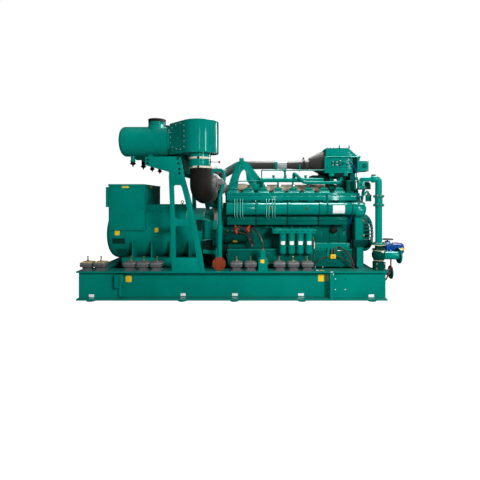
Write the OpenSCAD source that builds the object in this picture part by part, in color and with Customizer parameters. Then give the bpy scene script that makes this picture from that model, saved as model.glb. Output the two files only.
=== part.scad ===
// Gas engine generator set on a skid: alternator, V16 gas engine, raised air cleaners and gas inlet train.
// X runs along the crankshaft with the alternator at low X, the gas train side is low Y, Z is up.
// Every place is worked out along the crankshaft from the middle of the skid, and then moved so that
// the origin lies under the middle of the whole set, on the floor.

/* [Skid] */
// Length of the two side rails
skid_l = 4670; // [4500:10:4900]
// Width over the two side rails
skid_w = 2060; // [2030:10:2160]
// Height of the rail beams
beam_h = 437; // [380:1:480]
// Width of a rail flange
flange_w = 250; // [230:5:270]
// Thickness of all flanges
flange_t = 22; // [16:1:28]
// Thickness of all beam webs
web_t = 14; // [10:1:20]
// Width of a cross member
cross_w = 200; // [160:5:220]
// Radius of the curved corner gussets
gusset_r = 120; // [80:5:140]
// Radius of a floor pad
pad_r = 70; // [50:1:90]
// Height of a floor pad
pad_h = 20; // [12:1:40]

/* [Spare mounts] */
// Length of a spare vibration mount
mount_l = 186; // [160:1:190]
// Width of a spare vibration mount
mount_w = 200; // [160:1:220]
// Height of the cap of a vibration mount
mount_cap_h = 85; // [60:1:110]
// Height of the narrow foot of a vibration mount
mount_foot_h = 52; // [40:1:70]
// Height of the threaded stud over the cap
stud_h = 75; // [50:1:100]
// Radius of the threaded stud
stud_r = 10; // [8:0.5:12]

/* [Alternator] */
// Radius of the alternator frame
alt_r = 435; // [400:1:450]
// Length of the alternator frame
alt_l = 1480; // [1420:1:1500]
// Length of the rounded end bell
bell_l = 166; // [130:1:200]
// Length of the terminal box
term_l = 597; // [500:1:620]
// Width of the terminal box
term_w = 980; // [900:1:1000]
// Height of the terminal box roof over the shaft
term_top = 836; // [780:1:900]
// Height of the foot rails
alt_foot_h = 123; // [90:1:140]

/* [Engine] */
// Height of the crankshaft over the floor
crank_z = 950; // [930:1:980]
// Number of cylinders in a bank
bank_count = 8; // [8:1:8]
// Distance from cylinder to cylinder
pitch = 250; // [240:1:251]
// Half width of the crankcase
case_y = 400; // [360:1:420]
// Width of an engine base
base_w = 1240; // [1180:1:1260]
// Height of the head joint over the crankshaft
head_up = 530; // [500:1:545]
// Height of a cylinder head
head_h = 160; // [140:1:170]
// Height of a rocker cover
cover_h = 105; // [90:1:130]
// Radius of an intake manifold
manifold_r = 95; // [80:1:98]
// Radius of the flywheel housing
fly_r = 470; // [450:1:480]
// Radius of the damper guard
guard_r = 320; // [280:1:340]
// Length of the damper guard
guard_l = 160; // [120:1:170]

/* [Air intake] */
// Radius of an air cleaner
cleaner_r = 229; // [200:1:255]
// Length of an air cleaner
cleaner_l = 728; // [680:1:780]
// Distance from air cleaner to air cleaner
cleaner_step = 540; // [520:1:550]
// Height of the air cleaner axes over the floor
cleaner_z = 2432; // [2400:1:2460]
// Radius of an intake stub
stub_r = 131; // [110:1:140]
// Wall of an intake stub
stub_wall = 8; // [5:1:12]
// Height of the stub tops over the cleaner axes
stub_up = 345; // [300:1:370]
// Radius of the round end of the plenum
drum_r = 275; // [250:1:290]
// Distance from the crankshaft plane to the drum axis
drum_out = 1070; // [1050:1:1100]
// Height of the plenum
plenum_h = 472; // [440:1:480]
// Radius of the rubber intake elbow
elbow_r = 163; // [150:1:175]
// Radius of the bend of the intake elbow
elbow_bend = 260; // [250:1:280]
// Thickness of the stand plates
stand_t = 20; // [12:1:30]

/* [Gas train] */
// Radius of the gas pipe
gas_r = 52; // [45:1:57]
// Radius of the bend in the gas pipe
gas_bend = 110; // [90:1:120]
// Radius of the outlet flange
outlet_r = 118; // [100:1:125]
// Radius of the bolt circle in the outlet flange
outlet_bolt_r = 92; // [80:1:94]
// Radius of the handwheel
wheel_r = 84; // [70:1:95]
// Radius of the handwheel stem
stem_r = 12; // [10:0.5:14]

/* [Hidden] */
$fn = 96;
teal = [0.0, 0.47, 0.41];
dark_teal = [0.0, 0.33, 0.30];
rubber = [0.10, 0.10, 0.10];
grey = [0.38, 0.40, 0.42];
beige = [0.72, 0.66, 0.55];
blue = [0.05, 0.20, 0.52];
rust_red = [0.50, 0.16, 0.10];
brass = [0.70, 0.55, 0.25];
// Gap between curved faces that seat on each other
fit = 0.3;
// How far a ball at a pipe's corner stands proud of the pipe
seam = 3;
// The same for the red hose and the thin cables
ball = 1;
// How far a cutter reaches past the face it cuts
over = 1;

// Skid
end_x = skid_l / 2;
edge_y = skid_w / 2;
deck_z = pad_h + beam_h;
rail_in_y = edge_y - flange_w;
rail_mid_y = edge_y - flange_w / 2;
end_web_in = 90;
mid_web_in = 170;
step_left_x = -1725;
step_right_x = 1505;
// Lug plates where the web steps out, with the ramp beside the right one
left_lug_x = step_left_x - 38;
left_lug_l = 55;
left_lug_in = 10;
left_lug_foot_z = 194;
left_lug_top_in = 56;
left_lug_neck_in = 125;
lug_round = 24;
right_lug_x = step_right_x - 30;
right_lug_l = 45;
right_lug_in = 4;
ramp_l = 55;
ramp_in = 30;
rail_hole_r = 9;
rail_hole_dx = 150;
rail_hole_dz = 160;
rail_hole_x = 1648;
rail_hole_z = deck_z - 213;
cross_out_x = end_x - 147;
cross_x = [-cross_out_x + cross_w / 2, -1600, -700, -255, 900, cross_out_x - cross_w / 2];
pad_x = [-2137, -754, 35, 1056, 2118];

// Spare vibration mounts, left loose on the near rail
mount_x = [-2210, -2008, -1557, -1357, -1155, 65, 280, 720, 930, 1144];
mount_corner = 30;
mount_foot_l = 140;
mount_foot_w = 150;
nut_r = 18;
nut_h = 16;

// Alternator
alt_end_x = -500;
alt_start_x = alt_end_x - alt_l;
bell_corner = 110;
term_x = -2059;
term_drop = 77;
gland_t = 50;
gland_w = 960;
gland_h = 330;
gland_drop = 46;
top_cover_l = 660;
top_cover_w = 800;
top_cover_up = 375;
top_hump_w = 600;
top_hump_h = 125;
alt_foot_x = -1830;
alt_foot_l = 1270;
alt_foot_y = 380;
alt_foot_w = 140;
rib_x = [-1660, -1350, -1040, -730];
rib_t = 20;
rib_y = 300;
rib_top = crank_z - 100;

// Coupling and flywheel housings
coupling_l = 170;
coupling_r = 400;
window_w = 230;
window_l = 110;
window_deep = 60;
fly_x = alt_end_x + coupling_l;
fly_l = 150;
lug_y = 640;
lug_h = 260;
lug_deep = 340;
lug_z = crank_z - 20;

// Engine
block_x = fly_x + fly_l;
block_end_x = 1960;
base_top = crank_z - 211;
base_x = -94;
base_end_in = 60;
base_l = block_end_x - base_end_in - base_x;
head_z = crank_z + head_up;
shoulder_y = case_y + 100;
shoulder_z = crank_z + 320;
waist_z = crank_z + 170;
valley_y = 140;
valley_drop = 90;
valley_floor_y = 100;
first_x = -15;
head_l = 240;
head_in_y = 180;
head_out_y = 580;
cover_l = 200;
cover_in_y = 230;
cover_out_y = 520;
cover_slope = 45;
head_top = head_z + head_h;
cover_top = head_top + cover_h;
head_rail_w = 80;
head_rail_h = 89;
head_rail_x = -105;
head_rail_end_x = 1966;
head_rail_top = head_top + 8;
side_rail_y = 620;
side_rail_h = 132;
side_rail_z = crank_z + 176;
side_rail_x = -100;
side_rail_end_x = 1830;
manifold_y = 620;
manifold_z = head_z - 95;
manifold_x = -112;
manifold_end_x = 2115;
runner_r = 45;
exhaust_r = 100;
exhaust_z = head_top + 60;
exhaust_end_x = 1850;
exhaust_start_x = -185;
exhaust_port_r = 40;
exhaust_port_z = head_z + 100;
front_l = 147;
front_y = 600;
front_z = crank_z - 65;
front_h = 406;
guard_x = block_end_x + front_l + 83;
hub_r = 150;
engine_foot_w = 100;
engine_foot_l = 110;
front_foot_x = 1990;
rear_foot_x = fly_x + 30;
rear_foot_l = 90;
rear_foot_y = 330;
rear_foot_w = 140;
rear_foot_top = lug_z - lug_h / 2 - 10;

// Turbocharger and charge air
drum_x = -470;
turbo_turn = 15;
turbo_z = 1750;
elbow_start_z = turbo_z + elbow_bend;
nozzle_r = 150;
volute_r = 150;
volute_tube_r = 62;
volute_at = 150;
turbine_at = 300;
turbine_l = 250;
turbine_r = 140;
core_r = 80;
exhaust_arm_l = 320;
leg_x = -330;
leg_l = 88;
leg_y = 300;
leg_w = 180;
charge_y = -100;
charge_z = 2136;
charge_r = 66;
charge_start = [-250, -520, 2010];
charge_corner = [-60, charge_y, charge_z];
charge_dir = (charge_corner - charge_start) / norm(charge_corner - charge_start);
outlet_stub_l = 160;
band_x = 733;
band_l = 168;
band_r = 86;
inlet_x = 1285;
inlet_r = 94;
inlet_z = 2165;
inlet_big_r = 215;
cooler_x = 1518;
cooler_l = 540;
cooler_near_y = 370;
cooler_w = 670;
cooler_z = 1930;
cooler_h = 400;
lid_h = 68;
lid_in = 35;
cooler_leg_l = 70;
cooler_leg_x = 1630;
cooler_leg_in = 4;
cooler_post_l = 90;
cooler_post_y = 120;
cooler_post_w = 180;
throttle_l = 200;
throttle_near_y = 350;
throttle_w = 250;
throttle_z = 2012;
throttle_h = 171;
bracket_y = 226;
bracket_t = 44;
bracket_top = 2236;
bracket_apex = 2090;
// Places along the crankshaft of the two feet, the inner apex and the outer apex
bracket_feet = [[-85, 15], [370, 470]];
bracket_apex_x = 125;
bracket_top_x = [75, 155];
water_y = 330;
water_z = 1862;
water_r = 38;
water_x = 440;
water_end_x = 1500;
water_post_r = 16;
// Numbers of the cylinders that carry the posts of the water rail
water_posts = [2 : 5];

// Oil filters, starter, pedestal and blank flange
filter_count = 4;
filter_r = 53;
filter_step = 136;
filter_x = 783;
filter_y = 765;
filter_z = 687;
header_z = 1004;
header_h = 74;
header_x = 617;
header_l = 674;
header_y = 820;
starter_r = 98;
starter_l = 430;
starter_y = 530;
starter_z = crank_z - 20;
pedestal_x = 467;
pedestal_l = 141;
pedestal_w = 140;
pedestal_h = 179;
pedestal_neck_l = 83;
pedestal_neck_h = 127;
pedestal_y = 920;
blank_x = -200;
blank_y = 830;
blank_face_y = 950;
blank_z = deck_z + 102;
blank_r = 101;
blank_t = 18;
blank_pipe_r = 38;
blank_top = 1150;
blank_branch_z = lug_z + 70;
blank_bolt_r = 78;
blank_bolt_hole_r = 9;
blank_bolt_count = 4;

// Stand of the air cleaners
stand_base_x = -900;
stand_base_end_x = -406;
stand_top = cleaner_z - 253;
stand_left_x = -943;
stand_right_x = -764;
arm_x = -1300;
arm_h = 129;
arm_root_z = stand_top - 230;
window_top_z = stand_top - 411;
window_mid_z = 1244;
window_low_z = 1128;
window_foot_z = 664;
window_corner = 40;
window_left_in = 62;
window_top_w = 110;
window_mid_w = 205;
window_low_w = 215;
window_foot_w = 300;
window_low_in = 82;
// Right edge of a stand plate from the foot up, as places along the crankshaft and heights
stand_edge = [[stand_base_end_x - 70, 1005], [stand_base_end_x - 200, 1474], [stand_right_x + 56, stand_top - 302]];
beam_left_x = arm_x + 20;
beam_left_l = 60;
beam_left_h = 110;
beam_right_x = stand_right_x - 90;
beam_right_l = 70;
beam_right_h = 210;
cradle_w = 200;
// Height of a cradle under the cleaner axis, as a share of the cleaner radius
cradle_share = 0.92;

// Air cleaners and plenum
cleaner_count = 4;
cleaner_end_x = -984;
dome_r = 70;
stub_x = -1176;
stub_floor = 200;
valve_x = -1552;
valve_stub_r = 32;
valve_cap_r = 44;
valve_tip_z = cleaner_z - 391;
valve_cone_h = 45;
valve_cap_h = 30;
valve_stub_up = 60;
valve_tip_r = 6;
plenum_z = cleaner_z - 220;
plenum_left_x = -946;
plenum_right_x = -650;
plenum_corner_y = -971;
plenum_far_y = 1040;
neck_r = 158;
spigot_r = cleaner_r - 45;

// Gas train on the end of the near rail
gas_x = 2259;
gas_y = -850;
gas_top_z = 1860;
gas_foot_z = 845;
mixer_x = 1930;
mixer_end_x = 2075;
mixer_y = -920;
mixer_in_y = -600;
mixer_h = 255;
flange_a_z = 1450;
flange_b_z = 1585;
flange_r = 84;
flange_h = 16;
gas_flange_r = 100;
gasket_h = 13;
valve_r = 105;
valve_z = 681;
valve_top_r = 97;
valve_top_z = 750;
valve_top_h = 25;
valve_neck_r = 58;
valve_base_r = 70;
block_w = 155;
block_d = 170;
block_far_in = 20;
block_h = 119;
outlet_end_x = 2583;
outlet_t = 25;
outlet_z = 670;
outlet_count = 8;
outlet_hole_r = 9;
outlet_wall = 6;
outlet_floor = 20;
actuator_x = 2380;
actuator_l = 120;
actuator_y = -755;
actuator_w = 150;
actuator_z = 700;
actuator_h = 158;
motor_l = 214;
motor_r = 82;
motor_z = actuator_z + 90;
lever_h = 45;
lever_y = gas_y + 60;
lever_w = 90;
lever_back = 10;
stem_x = actuator_x + 75;
stem_y = actuator_y + actuator_w / 2;
stem_sink = 40;
stem_fit = 0.08;
wheel_z = actuator_z + actuator_h + 45;
rim_r = 8;
wheel_hub_r = 20;
wheel_hub_h = 26;
spoke_r = 6;
spoke_count = 3;
drain_y = -600;
drain_z = 364;
drain_r = 50;
drain_end_x = 2545;
drain_flange_r = 108;
drain_flange_t = 20;

// Pipes and hoses along their real routes, each a list of corner points
pipe_r = 28;
vent_r = 10;
// The arch comes down on the turbocharger's nozzle, between the elbow and the volute
arch_z = 1995;
arch_out = elbow_bend + 44;
arch_end_x = drum_x + arch_out * sin(turbo_turn);
arch_end_y = drum_out - arch_out * cos(turbo_turn);
arch_route = [[blank_x, -blank_y, blank_top], [blank_x, -blank_y, 1330], [-136, -780, 1430], [-136, -780, arch_z],
    [arch_end_x, -arch_end_y, arch_z], [arch_end_x, -arch_end_y, turbo_z + nozzle_r]];
transfer_z = 1815;
transfer_route = [[1003, -water_y, water_z + water_r], [1003, -water_y, 1956], [1003, -410, 1956],
    [1190, -410, transfer_z], [1800, -410, transfer_z], [1800, -water_y, transfer_z], [1800, -water_y, cooler_z]];
vent_route = [[460, -water_y, water_z + water_r], [460, -water_y, 2023], [460, -400, 2023], [1515, -400, 2023],
    [1515, -400, 2243], [2110, -400, 2243], [2110, -310, 2243], [2110, -310, throttle_z + throttle_h]];
conduit_r = 13;
hose_r = 12;
conduit_route = [[300, -case_y, 1065], [300, -450, 1065], [370, -680, 1030], [430, -840, 950],
    [pedestal_x, -pedestal_y, 870], [pedestal_x, -pedestal_y, deck_z + pedestal_h + pedestal_neck_h]];
valve_hose_route = [[1612, -base_w / 2, 715], [1612, -675, 715], [1680, -730, 782], [1770, -770, 735],
    [1845, -795, 640], [1885, -805, 550], [1885, -805, deck_z]];
harness_r = 7;
harness_high_route = [[1935, -cooler_near_y, 2153], [1935, -400, 2153], [2030, -450, 2000], [2022, -460, 1860],
    [2035, -520, 1650], [2045, -manifold_y, 1560], [2045, -manifold_y, manifold_z + manifold_r]];
harness_low_route = [[1900, -manifold_y, manifold_z - manifold_r], [1900, -manifold_y, 1240], [1875, -600, 1150],
    [1830, -480, 1030], [1808, -440, 990], [1808, -case_y, 990]];
red_hose_route = [[2447, gas_y, outlet_z - gas_r], [2447, gas_y, 500], [2425, gas_y, 410], [2375, -860, 310],
    [2290, -890, 250], [2290, -edge_y + end_web_in + web_t, 250]];

// Middle of the whole set, from the outermost pieces on each side
right_x = actuator_x + actuator_l + motor_l;
mid_x = (right_x - end_x) / 2;
mid_y = (edge_y - drum_out - drum_r) / 2;

// Moves a piece from the middle of the skid to the middle of the whole set
module placed() {
    translate([-mid_x, -mid_y, 0]) children();
}

// Box between two corners
module block(x0, x1, y0, y1, z0, z1) {
    translate([x0, y0, z0]) cube([x1 - x0, y1 - y0, z1 - z0]);
}

// Rods along each axis
module rod_x(x0, x1, y, z, r, r_end = undef) {
    translate([x0, y, z]) rotate([0, 90, 0]) cylinder(h = x1 - x0, r1 = r, r2 = r_end == undef ? r : r_end);
}

module rod_y(x, y0, y1, z, r) {
    translate([x, y0, z]) rotate([-90, 0, 0]) cylinder(h = y1 - y0, r = r);
}

module rod_z(x, y, z0, z1, r) {
    translate([x, y, z0]) cylinder(h = z1 - z0, r = r);
}

// Rod from one point to another
module tube(p0, p1, r) {
    d = p1 - p0;
    translate(p0) rotate([0, acos(d[2] / norm(d)), atan2(d[1], d[0])]) cylinder(h = norm(d), r = r);
}

// Makes the shape on the near side and its mirror image on the far side
module both_sides() {
    children();
    mirror([0, 1, 0]) children();
}

// Plate with round corners, standing on the origin
module round_plate(l, w, h, r) {
    linear_extrude(h) {
        square([l - 2 * r, w], center = true);
        square([l, w - 2 * r], center = true);
        for (sx = [-1, 1], sy = [-1, 1]) translate([sx * (l / 2 - r), sy * (w / 2 - r)]) circle(r);
    }
}

// Outline in Y and Z carried along X
module along_x(x0, x1) {
    translate([x0, 0, 0]) rotate([90, 0, 90]) linear_extrude(x1 - x0) children();
}

// Outline in X and Z carried along Y
module along_y(y0, y1) {
    translate([0, y1, 0]) rotate([90, 0, 0]) linear_extrude(y1 - y0) children();
}

// Quarter bend of a pipe, from straight down to level towards low X
module pipe_bend(r, bend) {
    rotate([90, 0, 0]) rotate_extrude(angle = 90) translate([bend, 0]) circle(r);
}

// Thick plate with a round nose where the web steps at the alternator end
module left_lug() {
    along_x(left_lug_x, left_lug_x + left_lug_l) {
        translate([-edge_y + left_lug_neck_in, pad_h + flange_t])
            square([mid_web_in + web_t - left_lug_neck_in, beam_h - 2 * flange_t]);
        hull() {
            for (z = [left_lug_foot_z + lug_round, deck_z - left_lug_top_in - lug_round])
                translate([-edge_y + left_lug_in + lug_round, z]) circle(lug_round);
            translate([-edge_y + left_lug_neck_in, left_lug_foot_z])
                square([1, deck_z - left_lug_top_in - left_lug_foot_z]);
        }
    }
}

// Thick plate over the whole web height at the gas end, with a slanting plate beside it
module right_lug() {
    along_x(right_lug_x, right_lug_x + right_lug_l) hull() {
        translate([-edge_y + right_lug_in, pad_h + flange_t])
            square([mid_web_in + web_t - right_lug_in, beam_h / 2]);
        translate([-edge_y + right_lug_in + lug_round, deck_z - flange_t - lug_round]) circle(lug_round);
        translate([-edge_y + mid_web_in, deck_z - flange_t - 1]) square([web_t, 1]);
    }
    translate([0, 0, pad_h + flange_t]) linear_extrude(beam_h - 2 * flange_t)
        polygon([[right_lug_x - ramp_l, -edge_y + mid_web_in + web_t / 2], [right_lug_x, -edge_y + ramp_in],
            [right_lug_x, -edge_y + mid_web_in + web_t / 2]]);
}

module rail() {
    difference() {
        union() {
            block(-end_x, end_x, -edge_y, -rail_in_y, pad_h, pad_h + flange_t);
            block(-end_x, end_x, -edge_y, -rail_in_y, deck_z - flange_t, deck_z);
            for (side = [[-end_x, step_left_x], [step_right_x, end_x]])
                block(side[0], side[1], -edge_y + end_web_in, -edge_y + end_web_in + web_t,
                    pad_h + flange_t, deck_z - flange_t);
            block(step_left_x, step_right_x, -edge_y + mid_web_in, -edge_y + mid_web_in + web_t,
                pad_h + flange_t, deck_z - flange_t);
            left_lug();
            right_lug();
        }
        for (dx = [-0.5, 0.5], dz = [-0.5, 0.5])
            rod_y(rail_hole_x + dx * rail_hole_dx, -edge_y + end_web_in - over,
                -edge_y + end_web_in + web_t + over, rail_hole_z + dz * rail_hole_dz, rail_hole_r);
    }
}

module rail_near() {
    color(teal) placed() rail();
}

module rail_far() {
    color(teal) placed() mirror([0, 1, 0]) rail();
}

module cross_members() {
    color(teal) placed() {
        for (x = cross_x) {
            for (z = [pad_h, deck_z - flange_t])
                block(x - cross_w / 2, x + cross_w / 2, -rail_in_y, rail_in_y, z, z + flange_t);
            block(x - web_t / 2, x + web_t / 2, -rail_in_y, rail_in_y, pad_h + flange_t, deck_z - flange_t);
        }
        for (mx = [0, 1], my = [0, 1]) mirror([mx, 0, 0])
            mirror([0, my, 0]) difference() {
                block(cross_out_x, cross_out_x + gusset_r, rail_in_y - gusset_r, rail_in_y,
                    deck_z - flange_t, deck_z);
                rod_z(cross_out_x + gusset_r, rail_in_y - gusset_r, deck_z - flange_t - over,
                    deck_z + over, gusset_r);
            }
    }
}

module floor_pads() {
    color(teal) placed() both_sides() for (x = pad_x) rod_z(x, -rail_mid_y, 0, pad_h, pad_r);
}

module spare_mounts() {
    color(grey) placed() for (x = mount_x) translate([x, -rail_mid_y, deck_z]) {
        round_plate(mount_foot_l, mount_foot_w, mount_foot_h, mount_corner);
        translate([0, 0, mount_foot_h]) round_plate(mount_l, mount_w, mount_cap_h, mount_corner);
    }
}

module spare_mount_studs() {
    color(brass) placed() for (x = mount_x)
        translate([x, -rail_mid_y, deck_z + mount_foot_h + mount_cap_h]) {
            cylinder(h = stud_h, r = stud_r);
            cylinder(h = nut_h, r = nut_r, $fn = 6);
        }
}

module alternator_frame() {
    color(teal) placed() rod_x(alt_start_x, alt_end_x, 0, crank_z, alt_r);
}

module alternator_end_bell() {
    color(teal) placed() translate([alt_start_x, 0, crank_z]) rotate([0, -90, 0]) rotate_extrude() {
        square([alt_r - bell_corner, bell_l]);
        square([alt_r, bell_l - bell_corner]);
        intersection() {
            translate([alt_r - bell_corner, bell_l - bell_corner]) circle(bell_corner);
            square([alt_r, bell_l]);
        }
    }
}

module alternator_feet() {
    color(teal) placed() both_sides() difference() {
        union() {
            block(alt_foot_x, alt_foot_x + alt_foot_l, -alt_foot_y - alt_foot_w, -alt_foot_y,
                deck_z, deck_z + alt_foot_h);
            for (x = rib_x) block(x - rib_t / 2, x + rib_t / 2, -alt_foot_y - alt_foot_w + rib_t, -rib_y,
                deck_z + alt_foot_h, rib_top);
        }
        rod_x(alt_start_x - over, alt_end_x + over, 0, crank_z, alt_r + fit);
    }
}

module terminal_box() {
    color(teal) placed() difference() {
        union() {
            block(term_x, term_x + term_l, -term_w / 2, term_w / 2, crank_z + term_drop, crank_z + term_top);
            block(term_x - gland_t, term_x, -gland_w / 2, gland_w / 2,
                crank_z + term_top - gland_drop - gland_h, crank_z + term_top - gland_drop);
        }
        rod_x(alt_start_x - bell_l, alt_end_x, 0, crank_z, alt_r + fit);
    }
}

module alternator_top_cover() {
    color(dark_teal) placed() difference() {
        union() {
            block(term_x + term_l, term_x + term_l + top_cover_l, -top_cover_w / 2, top_cover_w / 2,
                crank_z + term_drop, crank_z + top_cover_up);
            block(term_x + term_l, term_x + term_l + top_cover_l, -top_hump_w / 2, top_hump_w / 2,
                crank_z + top_cover_up, crank_z + top_cover_up + top_hump_h);
        }
        rod_x(alt_start_x, alt_end_x, 0, crank_z, alt_r + fit);
    }
}

module coupling_housing() {
    color(teal) placed() difference() {
        rod_x(alt_end_x, fly_x, 0, crank_z, coupling_r, fly_r);
        both_sides() block(alt_end_x + (coupling_l - window_l) / 2, alt_end_x + (coupling_l + window_l) / 2,
            -fly_r - over, -coupling_r + window_deep, crank_z - window_w / 2, crank_z + window_w / 2);
    }
}

module flywheel_housing() {
    color(teal) placed() {
        rod_x(fly_x, fly_x + fly_l, 0, crank_z, fly_r);
        block(fly_x, fly_x + fly_l, -lug_y, -lug_y + lug_deep, lug_z - lug_h / 2, lug_z + lug_h / 2);
    }
}

module engine_base() {
    color(teal) placed() block(base_x, base_x + base_l, -base_w / 2, base_w / 2, deck_z, base_top);
}

// Outline of the crankcase and one bank, in Y and Z, from the bottom up and over into the valley
half_outline = [[case_y, base_top], [case_y, waist_z], [shoulder_y, shoulder_z], [shoulder_y, head_z],
    [valley_y, head_z], [valley_floor_y, head_z - valley_drop]];
block_outline = concat(half_outline, [for (i = [len(half_outline) - 1 : -1 : 0])
    [-half_outline[i][0], half_outline[i][1]]]);

module engine_block() {
    color(dark_teal) placed() along_x(block_x, block_end_x) polygon(block_outline);
}

module engine_feet() {
    color(teal) placed() both_sides() {
        block(front_foot_x, front_foot_x + engine_foot_l, -front_y, -front_y + engine_foot_w, deck_z, front_z);
        difference() {
            block(rear_foot_x, rear_foot_x + rear_foot_l, -rear_foot_y - rear_foot_w, -rear_foot_y,
                deck_z, rear_foot_top);
            rod_x(fly_x - over, fly_x + fly_l + over, 0, crank_z, fly_r + fit);
        }
    }
}

// Places one copy on each cylinder of the near bank and its mirror image on the far bank
module on_cylinders() {
    both_sides() for (i = [0 : bank_count - 1]) translate([first_x + i * pitch, 0, 0]) children();
}

module cylinder_heads() {
    color(teal) placed() on_cylinders() block(-head_l / 2, head_l / 2, -head_out_y, -head_in_y, head_z, head_top);
}

module rocker_covers() {
    color(teal) placed() on_cylinders() along_x(-cover_l / 2, cover_l / 2)
        polygon([[-cover_out_y, head_top], [-cover_in_y, head_top], [-cover_in_y, cover_top],
            [-cover_out_y + cover_slope, cover_top], [-cover_out_y, cover_top - cover_slope]]);
}

module bank_rails() {
    color(teal) placed() both_sides() {
        block(head_rail_x, head_rail_end_x, -head_out_y - head_rail_w, -head_out_y,
            head_rail_top - head_rail_h, head_rail_top);
        difference() {
            block(side_rail_x, side_rail_end_x, -side_rail_y, -case_y, side_rail_z, side_rail_z + side_rail_h);
            along_x(block_x - over, block_end_x + over) polygon(block_outline);
        }
    }
}

module intake_manifolds() {
    color(teal) placed() both_sides() {
        rod_x(manifold_x, manifold_end_x, -manifold_y, manifold_z, manifold_r);
        for (i = [0 : bank_count - 1])
            rod_y(first_x + i * pitch, -manifold_y, -shoulder_y, manifold_z, runner_r);
    }
}

// Turns the level axis of the turbocharger towards the engine; X runs along the shaft
module on_turbo_axis() {
    translate([drum_x, -drum_out, turbo_z]) rotate([0, 0, 90 - turbo_turn]) translate([elbow_bend, 0, 0])
        children();
}

module exhaust_manifold() {
    color(beige) placed() {
        on_turbo_axis() rod_x(turbine_at + turbine_l, turbine_at + turbine_l + exhaust_arm_l, 0, 0, exhaust_r);
        rod_x(exhaust_start_x, exhaust_end_x, 0, exhaust_z, exhaust_r);
        for (i = [0 : bank_count - 1])
            rod_y(first_x + i * pitch, -head_in_y, head_in_y, exhaust_port_z, exhaust_port_r);
    }
}

module front_cover() {
    color(teal) placed() block(block_end_x, block_end_x + front_l, -front_y, front_y, front_z, front_z + front_h);
}

module damper_guard() {
    color(dark_teal) placed() {
        rod_x(block_end_x + front_l, guard_x, 0, crank_z, hub_r);
        rod_x(guard_x, guard_x + guard_l, 0, crank_z, guard_r);
    }
}

module turbocharger() {
    color(grey) placed() {
        on_turbo_axis() {
            rod_x(0, volute_at, 0, 0, nozzle_r);
            translate([volute_at, 0, 0]) rotate([0, 90, 0]) rotate_extrude() {
                translate([volute_r, 0]) circle(volute_tube_r);
                translate([0, -volute_tube_r]) square([volute_r, 2 * volute_tube_r]);
            }
            rod_x(volute_at, turbine_at, 0, 0, core_r);
            rod_x(turbine_at, turbine_at + turbine_l, 0, 0, turbine_r);
        }
        tube(charge_start - outlet_stub_l * charge_dir, charge_start, charge_r);
        difference() {
            block(leg_x, leg_x + leg_l, -leg_y - leg_w, -leg_y, lug_z + lug_h / 2, turbo_z - core_r);
            rod_x(fly_x - over, fly_x + fly_l + over, 0, crank_z, fly_r + fit);
        }
    }
}

module charge_pipe() {
    color(rubber) placed() {
        tube(charge_start, charge_corner, charge_r);
        translate(charge_corner) sphere(charge_r + seam);
        rod_x(charge_corner[0], band_x, charge_y, charge_z, charge_r);
        rod_x(band_x, band_x + band_l, charge_y, charge_z, band_r);
        rod_x(band_x + band_l, inlet_x, charge_y, charge_z, charge_r, inlet_r);
    }
}

module cooler_inlet() {
    color(rubber) placed() rod_x(inlet_x, cooler_x, charge_y, inlet_z, inlet_r, inlet_big_r);
}

module charge_cooler() {
    color(teal) placed() {
        block(cooler_x, cooler_x + cooler_l, -cooler_near_y, -cooler_near_y + cooler_w, cooler_z, cooler_z + cooler_h);
        block(cooler_x + lid_in, cooler_x + cooler_l - lid_in, -cooler_near_y + lid_in,
            -cooler_near_y + cooler_w - lid_in, cooler_z + cooler_h, cooler_z + cooler_h + lid_h);
        both_sides() {
            block(cooler_leg_x, cooler_leg_x + cooler_leg_l, -cover_in_y + cooler_leg_in, -head_in_y - cooler_leg_in,
                head_top, cooler_z);
            block(block_end_x, block_end_x + cooler_post_l, -cooler_post_y - cooler_post_w, -cooler_post_y,
                front_z + front_h, cooler_z);
        }
    }
}

module throttle_box() {
    color(teal) placed() block(cooler_x + cooler_l, cooler_x + cooler_l + throttle_l, -throttle_near_y,
        -throttle_near_y + throttle_w, throttle_z, throttle_z + throttle_h);
}

module lifting_bracket() {
    color(teal) placed() along_y(-bracket_y, -bracket_y + bracket_t)
        polygon([[bracket_feet[0][0], head_top], [bracket_feet[0][1], head_top], [bracket_apex_x, bracket_apex],
            [bracket_feet[1][0], head_top], [bracket_feet[1][1], head_top], [bracket_top_x[1], bracket_top],
            [bracket_top_x[0], bracket_top]]);
}

// Round pipe or hose through the points of a route, with a ball at each corner that stands proud of it
module route(points, r, proud) {
    $fn = 32;
    for (i = [1 : len(points) - 1]) tube(points[i - 1], points[i], r);
    for (i = [1 : len(points) - 2]) translate(points[i]) sphere(r + proud);
}

module coolant_pipes() {
    color(teal) placed() {
        route(arch_route, pipe_r, seam);
        route(transfer_route, pipe_r, seam);
    }
}

module vent_pipe() {
    color(teal) placed() route(vent_route, vent_r, seam);
}

module black_hoses() {
    color(rubber) placed() {
        route(conduit_route, conduit_r, seam);
        route(valve_hose_route, hose_r, seam);
    }
}

module red_hose() {
    color(rust_red) placed() route(red_hose_route, hose_r, ball);
}

module blue_harness() {
    color(blue) placed() {
        route(harness_high_route, harness_r, ball);
        route(harness_low_route, harness_r, ball);
    }
}

module water_rail() {
    color(teal) placed() {
        rod_x(water_x, water_end_x, -water_y, water_z, water_r);
        for (i = water_posts) rod_z(first_x + i * pitch, -water_y, cover_top, water_z, water_post_r);
    }
}

module oil_filters() {
    color(teal) placed() for (i = [0 : filter_count - 1])
        rod_z(filter_x + i * filter_step, -filter_y, filter_z, header_z, filter_r);
}

module filter_header() {
    color(teal) placed() block(header_x, header_x + header_l, -header_y, -case_y, header_z, header_z + header_h);
}

module starter_motor() {
    color(dark_teal) placed() rod_x(fly_x + fly_l, fly_x + fly_l + starter_l, -starter_y, starter_z, starter_r);
}

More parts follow.
